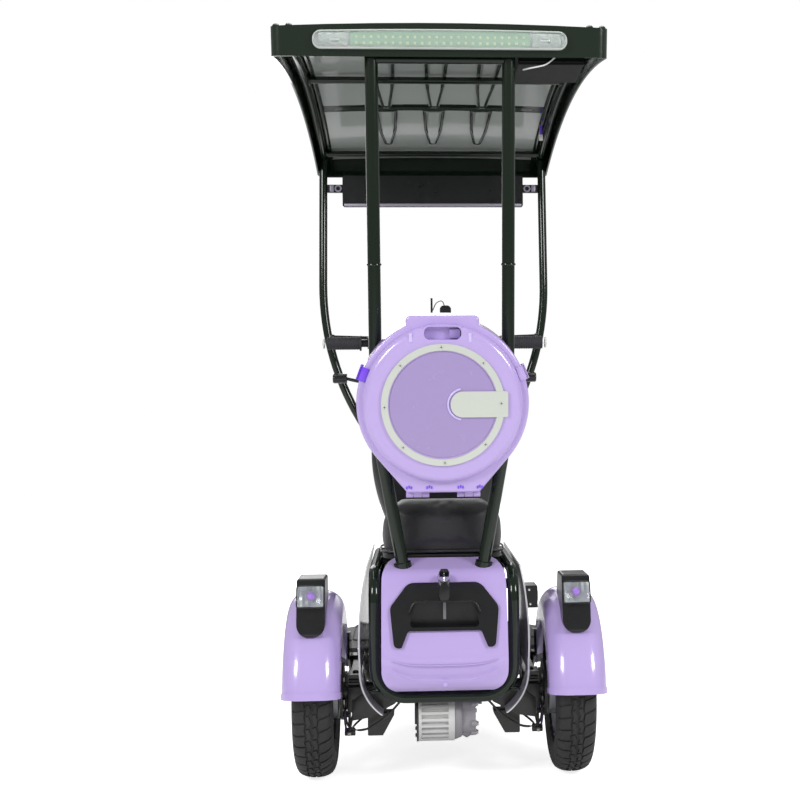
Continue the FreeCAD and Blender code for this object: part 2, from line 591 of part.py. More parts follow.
# Rear cover: a lilac moulding inside the hoop, a curved back with side walls, open to the front.
cover_rows = (
    (COVER_FRONT_Y, COVER_Z[1], 0), (-128.0, 472.0, 40.0), (-166.0, 430.0, 60.0), (-197.0, 350.0, 80.0),
    (-214.0, HOOP_Z + 91.0, 50.0), (-198.0, HOOP_Z + 31.0, 26.0), (-178.0, HOOP_Z + 18.0, 10.0),
    (COVER_FRONT_Y, HOOP_Z + 33.0, 0),
)
face_rows = (
    (-COVER_X, COVER_Z[0], 52.0), (COVER_X, COVER_Z[0], 52.0), (COVER_X, COVER_Z[1] + 2.0, 40.0),
    (-COVER_X, COVER_Z[1] + 2.0, 40.0),
)


def cover_block(inset):
    """The cover's solid block, drawn in by the inset."""
    side_wire = outline(cover_rows, "YZ", -COVER_X - 5.0)
    face_wire = outline(face_rows, "XZ", -260.0)
    if inset:
        side_wire = side_wire.makeOffset2D(-inset)
        face_wire = face_wire.makeOffset2D(-inset)
    side_block = Part.Face(side_wire).extrude(X_AXIS * (2.0 * COVER_X + 10.0))
    return side_block.common(Part.Face(face_wire).extrude(Y_AXIS * 260.0))


cover_outer = cover_block(0.0)
cover_inner = cover_block(COVER_WALL)
cover_pass = rod((-HOOP_X, -98.0, POST_CROSS_Z), (HOOP_X, -98.0, POST_CROSS_Z), POST_CROSS_R + SKIN_GAP)
cover_open = box((-COVER_X + COVER_WALL, COVER_X - COVER_WALL), (COVER_FRONT_Y - 6.0, COVER_FRONT_Y + 5.0),
                 (HOOP_Z + 35.0, COVER_Z[1] - 14.0))
collar_holes = [Part.makeCylinder(COLLAR_R + 2.0 * FIT_GAP, 90.0, V(side * collar_low.x, collar_low.y, collar_low.z),
                                  V(side * post_run.x, post_run.y, post_run.z)) for side in (-1, 1)]
pocket_front_y = -202.0 + POCKET_DEPTH


def pocket_block(grow):
    """The finger pocket's outline under the grab plate, grown by a wall or a gap."""
    return prism((
        (-POCKET_X - grow, POCKET_Z[0] - grow, 8.0), (POCKET_X + grow, POCKET_Z[0] - grow, 8.0),
        (POCKET_X - 14.0 + grow, POCKET_Z[1] + grow, 22.0), (14.0 - POCKET_X - grow, POCKET_Z[1] + grow, 22.0),
    ), "XZ", -260.0, pocket_front_y + grow)


rear_cover = cover_outer.cut(cover_inner).cut(cover_open)
nodes["rear_cover"] = rear_cover.cut(Part.makeCompound(collar_holes + [cover_pass, pocket_block(WALL + FIT_GAP)]))

# Grab plate: a black arch that follows the cover's back.
plate_half = ((92.0, 318.0, 4.0), (108.0, 318.0, 10.0), (117.0, 400.0, 20.0), (78.0, 449.0, 26.0))
plate_rows = [(-x, z, r) for x, z, r in reversed(plate_half)] + [(-78.0, 352.0, 6.0), (78.0, 352.0, 6.0)]
plate_rows = plate_rows + list(plate_half)
plate_strip = Part.Face(outline(cover_rows, "YZ", -COVER_X).makeOffset2D(PLATE_T)).extrude(X_AXIS * 2.0 * COVER_X)
plate_bed = Part.Face(outline(cover_rows, "YZ", -COVER_X).makeOffset2D(FIT_GAP)).extrude(X_AXIS * 2.0 * COVER_X)
plate = plate_strip.cut(plate_bed).common(prism(plate_rows, "XZ", -240.0, -100.0))
pocket = pocket_block(WALL).common(plate_strip)
nodes["grab_plate"] = fused([plate, pocket]).cut(pocket_block(0.0))

# Lock: a chrome barrel through the cover's upper slope.
slope_y, slope_z = -147.0, 451.0
lock_axis = V(0, -0.74, 0.673)
lock_foot = V(0, slope_y, slope_z) + lock_axis * 2.0
lock_barrel = Part.makeCylinder(13.0, 22.0, lock_foot - lock_axis * 10.0, lock_axis)
nodes["seat_lock"] = lock_barrel.cut(plate_strip)

# Side panels: pearl shells outside the seat frame, drawn in under it like the hoop's corner.
panel_rows = (
    (HOOP_X - 13.0, PANEL_LOW_Z), (HOOP_X + 21.0, PANEL_LOW_Z + 38.0), (HOOP_X + 35.0, PANEL_LOW_Z + 104.0),
    (HOOP_X + 36.0, 350.0), (HOOP_X + 31.0, 420.0), (HOOP_X + 19.0, PANEL_TOP_Z),
)


def panel_bulk(gap):
    """Everything inside the panel's outer skin, grown by the gap."""
    skin = [V(x + gap, PANEL_REAR_Y, z) for x, z in panel_rows]
    low = Part.Arc(skin[0], skin[1], skin[2]).toShape()
    high = Part.Arc(skin[2], skin[3], skin[5]).toShape()
    top_in = V(0, PANEL_REAR_Y, skin[5].z)
    low_in = V(0, PANEL_REAR_Y, skin[0].z)
    rest = [Part.LineSegment(a, b).toShape() for a, b in ((skin[5], top_in), (top_in, low_in), (low_in, skin[0]))]
    return Part.Face(Part.Wire([low, high] + rest)).extrude(Y_AXIS * (PANEL_FRONT_Y - PANEL_REAR_Y))


def panel_shape():
    outer = [V(x, PANEL_REAR_Y, z) for x, z in panel_rows]
    inner = [V(x - WALL * 1.2, PANEL_REAR_Y, z + 0.6) for x, z in panel_rows]
    low = Part.Arc(outer[0], outer[1], outer[2]).toShape()
    high = Part.Arc(outer[2] + V(0, 0, 0), outer[3], outer[5]).toShape()
    low_in = Part.Arc(inner[0], inner[1], inner[2]).toShape()
    high_in = Part.Arc(inner[2], inner[3], inner[5]).toShape()
    foot = Part.LineSegment(outer[0], inner[0]).toShape()
    head_edge = Part.LineSegment(outer[5], inner[5]).toShape()
    wire = Part.Wire(Part.sortEdges([low, high, head_edge, high_in, low_in, foot])[0])
    return Part.Face(wire).extrude(Y_AXIS * (PANEL_FRONT_Y - PANEL_REAR_Y))


panel = panel_shape()
outrigger_hole = box((HOOP_X - 51.0, TRACK / 2.0), (OUTRIGGER_Y - 24.0, OUTRIGGER_Y + 24.0), (PANEL_LOW_Z - 38.0, CROSS_Z + 38.0))
axle_notch = box((HOOP_X - 51.0, TRACK / 2.0), (-60.0, 60.0), (PANEL_LOW_Z - 38.0, TYRE_R + 60.0))
floor_notch = box((HOOP_X - 51.0, TRACK / 2.0), (FLOOR_Y[0] - SKIN_GAP, PANEL_FRONT_Y + 10.0),
                  (PANEL_LOW_Z - 38.0, FLOOR_TOP_Z + FIT_GAP))
panel = panel.cut(outrigger_hole).cut(axle_notch).cut(floor_notch)
nodes["side_panels"] = both_sides(panel)

# Front panel under the seat, between the side panels.
nodes["seat_front_panel"] = prism((
    (-HOOP_X - 9.0, FLOOR_TOP_Z + FIT_GAP, 0), (HOOP_X + 9.0, FLOOR_TOP_Z + FIT_GAP, 0),
    (HOOP_X + 9.0, 432.0, 20.0), (-HOOP_X - 9.0, 432.0, 20.0),
), "XZ", PANEL_FRONT_Y - WALL, PANEL_FRONT_Y)

# Small black switch box on the right side panel.
switch_block = prism((
    (HOOP_X + 24.0, 377.0, 0), (HOOP_X + 61.0, 377.0, 3.0), (HOOP_X + 61.0, 427.0, 3.0), (HOOP_X + 24.0, 427.0, 0),
), "XZ", -60.0, 4.0)
nodes["switch_box"] = switch_block.cut(panel_bulk(FIT_GAP))

# Rear fenders: a wide crowned shell over each wheel, with bracket plates on the outrigger.


def fender_shell(radius, width, wall, corner, skirt, centre, rear_turn, front_turn):
    """A U section turned about the wheel's axis, from rear_turn degrees behind the top to front_turn ahead."""
    half = width / 2.0
    wire = outline((
        (-half, radius - skirt, 0), (half, radius - skirt, 0), (half, radius, corner), (-half, radius, corner),
    ), "XZ")
    outer = Part.Face(wire)
    inner = Part.Face(outline((
        (wall - half, radius - skirt - 1.0, 0), (half - wall, radius - skirt - 1.0, 0),
        (half - wall, radius - wall, corner - wall), (wall - half, radius - wall, corner - wall),
    ), "XZ"))
    section = outer.cut(inner).Faces[0]
    section.rotate(V(0, 0, 0), X_AXIS, rear_turn)
    shell = section.revolve(V(0, 0, 0), X_AXIS, -rear_turn - front_turn)
    shell.translate(V(*centre))
    return shell


for side_name, side in REAR_WHEELS:
    wheel_centre = (side * TRACK / 2.0, 0, TYRE_R)
    fender = fender_shell(FENDER_R, FENDER_W, FENDER_T, FENDER_CORNER_R, FENDER_SKIRT, wheel_centre, *FENDER_TURNS)
    lip = fender_shell(FENDER_R + FENDER_LIP, FENDER_W + 2.0 * FENDER_LIP, FENDER_T + FENDER_LIP, FENDER_CORNER_R + FENDER_LIP,
                       FENDER_SKIRT + FENDER_LIP, wheel_centre, FENDER_TURNS[0], FENDER_LIP_TURN - FENDER_TURNS[0])
    nodes["fender_" + side_name] = fused([fender, lip])

# Tail lamps: a black housing on the fender's back with a clear lens.
housing_rows = (
    (46.0 - FENDER_R, LAMP_Z[0], 8.0), (56.0 - FENDER_R, LENS_Z[0] - 4.0, 0), (70.0 - FENDER_R, LAMP_Z[1], 8.0),
    (158.0 - FENDER_R, LAMP_Z[1], 8.0), (208.0 - FENDER_R, LAMP_Z[0] - 8.0, 0),
)
lens_rows = (
    (43.0 - FENDER_R, LENS_Z[0], 4.0), (56.0 - FENDER_R, LENS_Z[1], 4.0), (88.0 - FENDER_R, LENS_Z[1], 0),
    (78.0 - FENDER_R, LENS_Z[0], 0),
)
lamps, lenses = [], []
for side_name, side in REAR_WHEELS:
    lamp_x = side * TRACK / 2.0
    half = LAMP_W / 2.0
    body = prism(housing_rows, "YZ", lamp_x - half, lamp_x + half)
    face = prism((
        (lamp_x - half, LAMP_Z[0], 28.0), (lamp_x + half, LAMP_Z[0], 28.0), (lamp_x + half, LAMP_Z[1], 6.0),
        (lamp_x - half, LAMP_Z[1], 6.0),
    ), "XZ", 28.0 - FENDER_R, 0.0)
    bed = rod((lamp_x - LAMP_W, 0, TYRE_R), (lamp_x + LAMP_W, 0, TYRE_R), FENDER_R + FIT_GAP)
    lens = prism(lens_rows, "YZ", lamp_x - half + 2.0, lamp_x + half - 2.0)
    lens_slot = prism(lens_rows, "YZ", lamp_x - half + 2.0 - FIT_GAP, lamp_x + half - 2.0 + FIT_GAP)
    lamps += body.common(face).cut(bed).cut(lens_slot).Solids
    lenses += lens.cut(bed).Solids
nodes["tail_lamps"] = Part.makeCompound(lamps)
nodes["lamp_lenses"] = Part.makeCompound(lenses)

# Seat: rigid pan with hinge lugs, and the saddle cushion.
saddle_rows = (
    (-SEAT_X + 8.0, SEAT_REAR_Y, 60.0), (SEAT_X - 8.0, SEAT_REAR_Y, 60.0), (SEAT_X, 90.0, 120.0),
    (SEAT_X - 53.0, 270.0, 160.0), (SEAT_X - 69.0, SEAT_FRONT_Y, 60.0), (69.0 - SEAT_X, SEAT_FRONT_Y, 60.0),
    (53.0 - SEAT_X, 270.0, 160.0),
    (-SEAT_X, 90.0, 120.0),
)
pan_wire = outline(saddle_rows, "XY", SEAT_BOTTOM_Z)
pan = Part.Face(pan_wire.makeOffset2D(-6.0)).extrude(Z_AXIS * SEAT_PAN_T)
nodes["seat_pan"] = fused([pan] + seat_lugs)
cushion = Part.Face(outline(saddle_rows, "XY", SEAT_BOTTOM_Z + SEAT_PAN_T + FIT_GAP)).extrude(Z_AXIS * 160.0)
cushion_side = prism((
    (SEAT_REAR_Y - 10.0, SEAT_BOTTOM_Z, 0), (SEAT_FRONT_Y + 10.0, SEAT_BOTTOM_Z, 0), (SEAT_FRONT_Y + 10.0, 560.0, 60.0),
    (250.0, 566.0, 160.0), (120.0, 584.0, 120.0), (20.0, SEAT_TOP_Z, 90.0), (SEAT_REAR_Y - 10.0, SEAT_TOP_Z, 60.0),
), "YZ", -SEAT_X - 5.0, SEAT_X + 5.0)
cushion_back = prism((
    (-SEAT_X - 1.0, SEAT_BOTTOM_Z, 0), (SEAT_X + 1.0, SEAT_BOTTOM_Z, 0), (SEAT_X + 1.0, 560.0, 50.0),
    (SEAT_X - 28.0, SEAT_TOP_Z, 70.0), (28.0 - SEAT_X, SEAT_TOP_Z, 70.0), (-SEAT_X - 1.0, 560.0, 50.0),
), "XZ", SEAT_REAR_Y - 20.0, SEAT_FRONT_Y + 20.0)
nodes["seat_cushion"] = cushion.common(cushion_side).common(cushion_back)

# Round rear box, drawn upright about the posts' line and leaned back with them.
BACK_LEAN = math.degrees(math.atan2(REAR_POST[1][1] - REAR_POST[2][1], REAR_POST[2][2] - REAR_POST[1][2]))
POST_Y = REAR_POST[1][1]
LEAN_POINT = (0, POST_Y, REAR_POST[1][2])
body_front_y = POST_Y - REAR_POST_R - BOX_STAY
rim_y = body_front_y - BOX_BODY_T
lid_back_y = rim_y - FIT_GAP - BOX_LID_T


def leaned(shape):
    """Lean the box's upright pieces back along the posts."""
    return turned(shape, LEAN_POINT, X_AXIS, BACK_LEAN)


def box_block(inset, front_y, back_y):
    """The box's outline, a circle with a flat foot and a raised top, from front to back."""
    radius = BOX_R - inset
    disc = Part.makeCylinder(radius, front_y - back_y, V(0, back_y, BOX_Z), Y_AXIS)
    foot_x, foot_z = BOX_FOOT_X - inset, BOX_FOOT_Z + inset - BOX_Z
    reach = math.hypot(foot_x, foot_z)
    touch = math.atan2(foot_z, foot_x) + math.acos(radius / reach)
    tip_x, tip_z = radius * math.cos(touch), BOX_Z + radius * math.sin(touch)
    foot = prism((
        (-foot_x, BOX_FOOT_Z + inset, 0), (foot_x, BOX_FOOT_Z + inset, 0), (tip_x, tip_z, 0), (-tip_x, tip_z, 0),
    ), "XZ", back_y, front_y)
    lobe_x = BOX_FOOT_X - inset
    lobe = prism((
        (-lobe_x, BOX_Z, 0), (lobe_x, BOX_Z, 0), (lobe_x, BOX_TOP_Z - inset, 10.0), (-lobe_x, BOX_TOP_Z - inset, 10.0),
    ), "XZ", back_y, front_y)
    return fused([disc, foot, lobe])


slot_cut = prism((
    (-39.0, 989.0, 12.0), (39.0, 989.0, 12.0), (39.0, 1016.0, 12.0), (-39.0, 1016.0, 12.0),
), "XZ", lid_back_y - 10.0, lid_back_y + 21.0)
box_outer = box_block(0.0, body_front_y, rim_y)
box_inner = box_block(BOX_WALL, body_front_y - BOX_WALL, rim_y - 1.0)
HINGE_Z = BOX_FOOT_Z - BOX_HINGE_R - 1.0
knuckles, lid_knuckles = [], []
for side in (-1, 1):
    for low_x, high_x, owner in ((30.0, 45.0, "body"), (46.0, 64.0, "lid"), (65.0, 80.0, "body")):
        ends = sorted((side * low_x, side * high_x))
        barrel = rod((ends[0], rim_y, HINGE_Z), (ends[1], rim_y, HINGE_Z), BOX_HINGE_R)
        leaf_y = (rim_y + 1.5, rim_y + BOX_HINGE_R) if owner == "body" else (rim_y - BOX_HINGE_R, rim_y - 1.8)
        leaf = box(ends, leaf_y, (HINGE_Z, BOX_FOOT_Z + 0.5))
        target = knuckles if owner == "body" else lid_knuckles
        target += [barrel, leaf]
    ends = sorted((side * 30.0, side * 80.0))
    knuckles.append(rod((ends[0], rim_y, HINGE_Z), (ends[1], rim_y, HINGE_Z), BOX_PIN_R))
stay_blocks = []
for side in (-1, 1):
    post_x = side * REAR_POST[1][0]
    stay = box((post_x - 16.0, post_x + 12.0), (body_front_y - 0.5, POST_Y - 4.0), (868.0, 900.0))
    stay_blocks.append(stay.cut(rod((post_x, POST_Y, 850.0), (post_x, POST_Y, 1000.0), REAR_POST_R + FIT_GAP)))
box_body = fused([box_outer.cut(box_inner)] + knuckles + stay_blocks)
nodes["box_body"] = leaned(box_body)

lid_bore = rod((-90.0, rim_y, HINGE_Z), (90.0, rim_y, HINGE_Z), BOX_PIN_R + PIN_GAP)
plate_back_y = lid_back_y + BULGE_T


def end_edges(shape, y):
    return [edge for edge in shape.Edges if abs(edge.BoundBox.YMax - y) < 0.01]


lid_outer = box_block(0.0, rim_y - FIT_GAP, plate_back_y)
lid_outer = lid_outer.makeFillet(BOX_EDGE_R, end_edges(lid_outer, plate_back_y))
bulge = Part.makeCylinder(BULGE_R, BULGE_T + 4.0, V(0, lid_back_y, BOX_Z), Y_AXIS)
bulge = bulge.makeFillet(BULGE_EDGE_R, end_edges(bulge, lid_back_y))
lid_inner = box_block(BOX_WALL + 3.0, rim_y + 1.0, plate_back_y + BOX_WALL + 1.5)
bulge_room = Part.makeCylinder(BULGE_R - BULGE_EDGE_R, BULGE_T + 4.0, V(0, lid_back_y + BOX_WALL + 1.5, BOX_Z), Y_AXIS)
lid_shell = fused([lid_outer, bulge]).cut(lid_inner).cut(bulge_room)
slot_shell = prism((
    (-42.0, 986.0, 14.0), (42.0, 986.0, 14.0), (42.0, 1019.0, 14.0), (-42.0, 1019.0, 14.0),
), "XZ", lid_back_y + 4.0, lid_back_y + 24.0)
lid = fused([lid_shell, slot_shell]).cut(slot_cut)
lid = fused([lid] + lid_knuckles).cut(lid_bore)
nodes["box_lid"] = leaned(lid)

tab_rows = ((16.0, TAB_Z[0], 26.0), (137.0, TAB_Z[0], 4.0), (137.0, TAB_Z[1], 4.0), (16.0, TAB_Z[1], 26.0))
tab = prism(tab_rows, "XZ", lid_back_y - RING_T - 1.0, lid_back_y)
ring = Part.makeCylinder(RING_OUT_R, RING_T, V(0, lid_back_y - RING_T, BOX_Z), Y_AXIS)
ring = ring.cut(Part.makeCylinder(RING_IN_R, RING_T * 3.0, V(0, lid_back_y - RING_T * 2.0, BOX_Z), Y_AXIS))
nodes["lid_ring"] = leaned(ring.cut(tab))
nodes["lid_tab"] = leaned(tab)

# Latches of the lid, on the rim at both sides.
latches = []
for side in (-1, 1):
    latch = box((BOX_R + FIT_GAP, BOX_R + 8.0), (rim_y - 14.0, rim_y - 1.0), (BOX_Z - 17.0, BOX_Z + 17.0))
    latch = turned(latch, (0, 0, BOX_Z), V(0, -1, 0), LATCH_ANGLE)
    latches.append(latch if side > 0 else latch.mirror(V(0, 0, 0), X_AXIS))
nodes["lid_latches"] = leaned(Part.makeCompound(latches))

# Backrest pad in front of the posts.
pad_back_y = POST_Y + REAR_POST_R + FIT_GAP
pad = Part.makeCylinder(PAD_R, PAD_T, V(0, pad_back_y, PAD_Z), Y_AXIS)
pad = pad.makeFillet(12.0, [edge for edge in pad.Edges if edge.BoundBox.YMax - edge.BoundBox.YMin < 0.01])
nodes["backrest_pad"] = leaned(pad)

# Fork: steerer, crown and two legs with the axle bolt.
axle_point = V(0, WHEELBASE, TYRE_R)
foot_drop = (axle_point - steer_point(TYRE_R)).dot(V(0, math.cos(math.radians(RAKE)), math.sin(math.radians(RAKE))))
ahead = V(0, math.cos(math.radians(RAKE)), math.sin(math.radians(RAKE)))
crown_mid = steer_point(CROWN_Z) + ahead * foot_drop
leg_length = (crown_mid - axle_point).dot(steer_axis)
steerer = steer_rod(CROWN_Z - 6.0, STEER_Z - 8.0, STEERER_R)
crown = prism((
    (-FORK_X - 20.0, -22.0, 12.0), (FORK_X + 20.0, -22.0, 12.0), (FORK_X + 20.0, 22.0, 12.0), (-FORK_X - 20.0, 22.0, 12.0),
), "XY", -10.0, 10.0)
crown.rotate(V(0, 0, 0), X_AXIS, RAKE)
crown.translate(crown_mid - ahead * (foot_drop / 2.0))
legs = []
for side in (-1, 1):
    foot = V(side * FORK_X, axle_point.y, axle_point.z)
    slider_top = foot + steer_axis * (leg_length * 0.45)
    legs.append(Part.makeCylinder(FORK_R, leg_length * 0.55, slider_top, steer_axis))
    legs.append(Part.makeCylinder(SLIDER_R, leg_length * 0.45, foot, steer_axis))
    ends = sorted((side * (FORK_X - FORK_R - 1.0), side * (FORK_X + FORK_R + 8.0)))
    legs.append(rod((ends[0], axle_point.y, axle_point.z), (ends[1], axle_point.y, axle_point.z), FORK_R + 8.0))
front_bolt = rod((-FORK_X - 26.0, axle_point.y, axle_point.z), (FORK_X + 26.0, axle_point.y, axle_point.z), SPINDLE_R)
fender_boss = Part.makeCylinder(11.0, leg_length - FRONT_FENDER_R - 2.0 * FIT_GAP,
                                axle_point + steer_axis * (FRONT_FENDER_R + 2.0 * FIT_GAP), steer_axis)
nodes["fork"] = fused([steerer, crown] + legs + [front_bolt, fender_boss])

# Front fender, between the fork legs.
nodes["front_fender"] = fender_shell(FRONT_FENDER_R, FRONT_FENDER_W, WALL, 24.0, 40.0, tuple(axle_point),
                                     *FRONT_FENDER_TURNS)

# Handlebar, clamp, grips and brake levers.
bar_mid = steer_point(STEER_Z) + V(0, 0, -6.0)
bar_points = (
    (-GRIP_X[1], GRIP_Y, GRIP_Z), (64.0 - GRIP_X[0], GRIP_Y, GRIP_Z), (144.0 - GRIP_X[0], bar_mid.y, bar_mid.z + 10.0),
    (GRIP_X[0] - 144.0, bar_mid.y, bar_mid.z + 10.0), (GRIP_X[0] - 64.0, GRIP_Y, GRIP_Z), (GRIP_X[1], GRIP_Y, GRIP_Z),
)
handlebar = tube(bar_points, BAR_R, (60.0, 60.0, 60.0, 60.0))
clamp_block = box((-24.0, 24.0), (bar_mid.y - 24.0, bar_mid.y + 24.0), (bar_mid.z - 2.0, bar_mid.z + 28.0))
bar_cut = tube(bar_points, BAR_R + FIT_GAP, (60.0, 60.0, 60.0, 60.0))
nodes["handlebar"] = handlebar
nodes["stem_clamp"] = clamp_block.cut(bar_cut).cut(steer_rod(CROWN_Z, STEER_Z - 8.0, STEERER_R + FIT_GAP))
grips = []
levers = []
for side in (-1, 1):
    grip = rod((side * GRIP_X[0], GRIP_Y, GRIP_Z), (side * (GRIP_X[1] + 6.0), GRIP_Y, GRIP_Z), GRIP_R)
    flange = rod((side * GRIP_X[0], GRIP_Y, GRIP_Z), (side * (GRIP_X[0] + 5.0), GRIP_Y, GRIP_Z), GRIP_R + 4.0)
    grip_bore = rod((side * (GRIP_X[0] - 1.0), GRIP_Y, GRIP_Z), (side * (GRIP_X[1] + FIT_GAP), GRIP_Y, GRIP_Z),
                    BAR_R + FIT_GAP)
    grips.append(fused([grip, flange]).cut(grip_bore))
    perch = rod((side * PERCH_X[0], GRIP_Y, GRIP_Z), (side * PERCH_X[1], GRIP_Y, GRIP_Z), BAR_R + 6.0)
    perch_bore = rod((side * (PERCH_X[0] - 8.0), GRIP_Y, GRIP_Z), (side * (PERCH_X[1] + 8.0), GRIP_Y, GRIP_Z), BAR_R + FIT_GAP)
    lever_mid_x = (PERCH_X[0] + PERCH_X[1]) / 2.0
    lever_end = V(side * (GRIP_X[1] - 8.0), GRIP_Y + 46.0, GRIP_Z + 22.0)
    arm = tube(((side * lever_mid_x, GRIP_Y + 14.0, GRIP_Z + 6.0), (side * (lever_mid_x + 8.0), GRIP_Y + 42.0, GRIP_Z + 18.0),
                tuple(lever_end)), LEVER_R, (14.0,))
    ball = Part.makeSphere(LEVER_BALL_R, lever_end)
    levers.append(fused([perch, arm, ball]).cut(perch_bore))
nodes["grips"] = Part.makeCompound(grips)
nodes["brake_levers"] = Part.makeCompound(levers)

# Phone holder on the stem clamp.
holder_y = bar_mid.y
holder_foot_z = bar_mid.z + 28.0 + FIT_GAP
HOLDER_X = (-12.0, 48.0)
HOLDER_Z = (1062.0, 1156.0)
holder_mid_x = (HOLDER_X[0] + HOLDER_X[1]) / 2.0
hump_rows = (
    (HOLDER_X[0] + 27.0, HOLDER_Z[0] + 10.0, 0), (HOLDER_X[1], HOLDER_Z[0] + 10.0, 0),
    (HOLDER_X[1], HOLDER_Z[1] - 21.0, 12.0), (HOLDER_X[0] + 27.0, HOLDER_Z[1] - 21.0, 12.0),
)
holder = [
    box((-14.0, 36.0), (holder_y - 14.0, holder_y + 14.0), (holder_foot_z, holder_foot_z + 14.0)),
    rod((holder_mid_x, holder_y, holder_foot_z), (holder_mid_x, holder_y, HOLDER_Z[0] + 8.0), 8.0),
    box(HOLDER_X, (holder_y - 4.0, holder_y + 4.0), (HOLDER_Z[0], HOLDER_Z[0] + 46.0)),
    box((HOLDER_X[0], HOLDER_X[0] + 6.0), (holder_y - 16.0, holder_y + 4.0), (HOLDER_Z[0] + 14.0, HOLDER_Z[1])),
    prism(hump_rows, "XZ", holder_y - 12.0, holder_y + 4.0),
]
nodes["phone_holder"] = fused(holder)

# Cowl round the head tube: an outer skin in two halves, the leg shield behind and the apron in front.
cowl_sections = (
    # height, rear Y, front Y, half-width, corner radius
    (CROWN_Z - 10.0, STEER_Y, STEER_Y + 240.0, 112.0, 40.0),
    (640.0, STEER_Y - 12.0, STEER_Y + 230.0, 186.0, 60.0),
    (900.0, STEER_Y - 24.0, STEER_Y + 130.0, 150.0, 50.0),
)


def cowl_block(inset, drop):
    wires = []
    for index, (height, rear_y, front_y, half, corner) in enumerate(cowl_sections):
        x, y0, y1 = half - inset, rear_y + inset, front_y - inset
        level = height + (drop if index == len(cowl_sections) - 1 else 0.0)
        wires.append(outline((
            (-x, y0, corner - inset), (x, y0, corner - inset), (x, y1, corner - inset), (-x, y1, corner - inset),
        ), "XY", level))
    return Part.makeLoft(wires, True, False)


# Front posts: from a cross bar on the head tube out and up to the roof rails.
roof_axis_z = ROOF_EDGE_Z - ROOF_R


def roof_z(y, below_edge):
    """Height of the roof's side edge at y, moved down by below_edge."""
    radius = ROOF_R - below_edge
    return roof_axis_z + math.sqrt(radius ** 2 - (y - ROOF_MID_Y) ** 2)


crown_at_rail = ROOF_CROWN * (1.0 - (FRONT_POST_X / (ROOF_X - ROOF_T)) ** 2)
rail_drop = -(ROOF_SKIRT - ROOF_T + crown_at_rail - FRONT_POST_R - FIT_GAP)
rail_z = roof_z(FRONT_POST_Y, rail_drop)
bar_y = steer_point(POST_BAR_Z).y + (HEAD_R + FRONT_POST_R + FIT_GAP) / math.cos(math.radians(RAKE))
rail_radius = ROOF_R - rail_drop


def roof_rail(side, radius):
    """A side rail on the roof's arc, from the rear posts to the front posts."""
    centre = V(0, ROOF_MID_Y, roof_axis_z)
    mid = V(side * FRONT_POST_X, ROOF_MID_Y, roof_axis_z + rail_radius)
    ring = Part.Face(Part.Wire([Part.makeCircle(radius, mid, Y_AXIS)]))
    back_turn = math.degrees(math.asin((ROOF_MID_Y - REAR_POST[2][1]) / rail_radius))
    fore_turn = math.degrees(math.asin((FRONT_POST_Y + 16.0 - ROOF_MID_Y) / rail_radius))
    ring.rotate(centre, X_AXIS, back_turn)
    return ring.revolve(centre, X_AXIS, -back_turn - fore_turn)


posts = []
for side in (-1, 1):
    posts.append(tube((
        (side * FRONT_POST_X, FRONT_POST_Y, rail_z - FRONT_POST_R - FIT_GAP), (side * FRONT_KNEE[0], FRONT_POST_Y, FRONT_KNEE[1]),
        (side * POST_BAR_X, bar_y, POST_BAR_Z),
    ), FRONT_POST_R, (FRONT_POST_BEND_R,)))
post_bar = rod((-POST_BAR_X - 6.0, bar_y, POST_BAR_Z), (POST_BAR_X + 6.0, bar_y, POST_BAR_Z), FRONT_POST_R)
rail_beds = [roof_rail(side, FRONT_POST_R + FIT_GAP) for side in (-1, 1)]
nodes["front_posts"] = fused(posts + [post_bar]).cut(Part.makeCompound(rail_beds))
post_holes = []
for side in (-1, 1):
    post_holes.append(tube((
        (side * FRONT_POST_X, FRONT_POST_Y, 1500.0), (side * FRONT_KNEE[0], FRONT_POST_Y, FRONT_KNEE[1]),
        (side * POST_BAR_X, bar_y, POST_BAR_Z),
    ), FRONT_POST_R + SKIN_GAP, (FRONT_POST_BEND_R,)))

cowl_skin = cowl_block(0.0, 0.0).cut(cowl_block(WALL, -WALL))
column_hole = steer_rod(780.0, 1000.0, 34.0)
cowl_skin = cowl_skin.cut(Part.makeCompound([column_hole, down_hole] + post_holes))
seam_y = STEER_Y + 80.0
rear_half = cowl_skin.common(box((-300.0, 300.0), (700.0, seam_y - FIT_GAP / 2.0), (300.0, 1000.0)))
front_half = cowl_skin.common(box((-300.0, 300.0), (seam_y + FIT_GAP / 2.0, 1300.0), (300.0, 1000.0)))
nodes["leg_shield"] = rear_half
nodes["front_apron"] = front_half

# Lower shield: a curved panel from the footboard up to the cowl.
nodes["lower_shield"] = prism((
    (FLOOR_Y[1] - 14.0, FLOOR_TOP_Z + FIT_GAP, 0), (FLOOR_Y[1] - 10.0, FLOOR_TOP_Z + FIT_GAP, 0),
    (FLOOR_Y[1] + 60.0, 330.0, 60.0), (STEER_Y + 2.0, CROWN_Z - 10.5, 0), (STEER_Y - 2.0, CROWN_Z - 10.5, 0),
    (FLOOR_Y[1] + 56.0, 332.0, 60.0),
), "YZ", -110.0, 110.0).cut(down_hole)

# Headlight in the apron.
light_y = STEER_Y + 226.0
head_lamp = lathe(((-46.0, 0, 0), (0.0, 0, 0), (0.0, 62.0, 8.0), (-46.0, 40.0, 6.0)), (0, light_y + 40.0, 690.0), Y_AXIS)
nodes["headlight"] = head_lamp.cut(cowl_block(-FIT_GAP, 0.0))

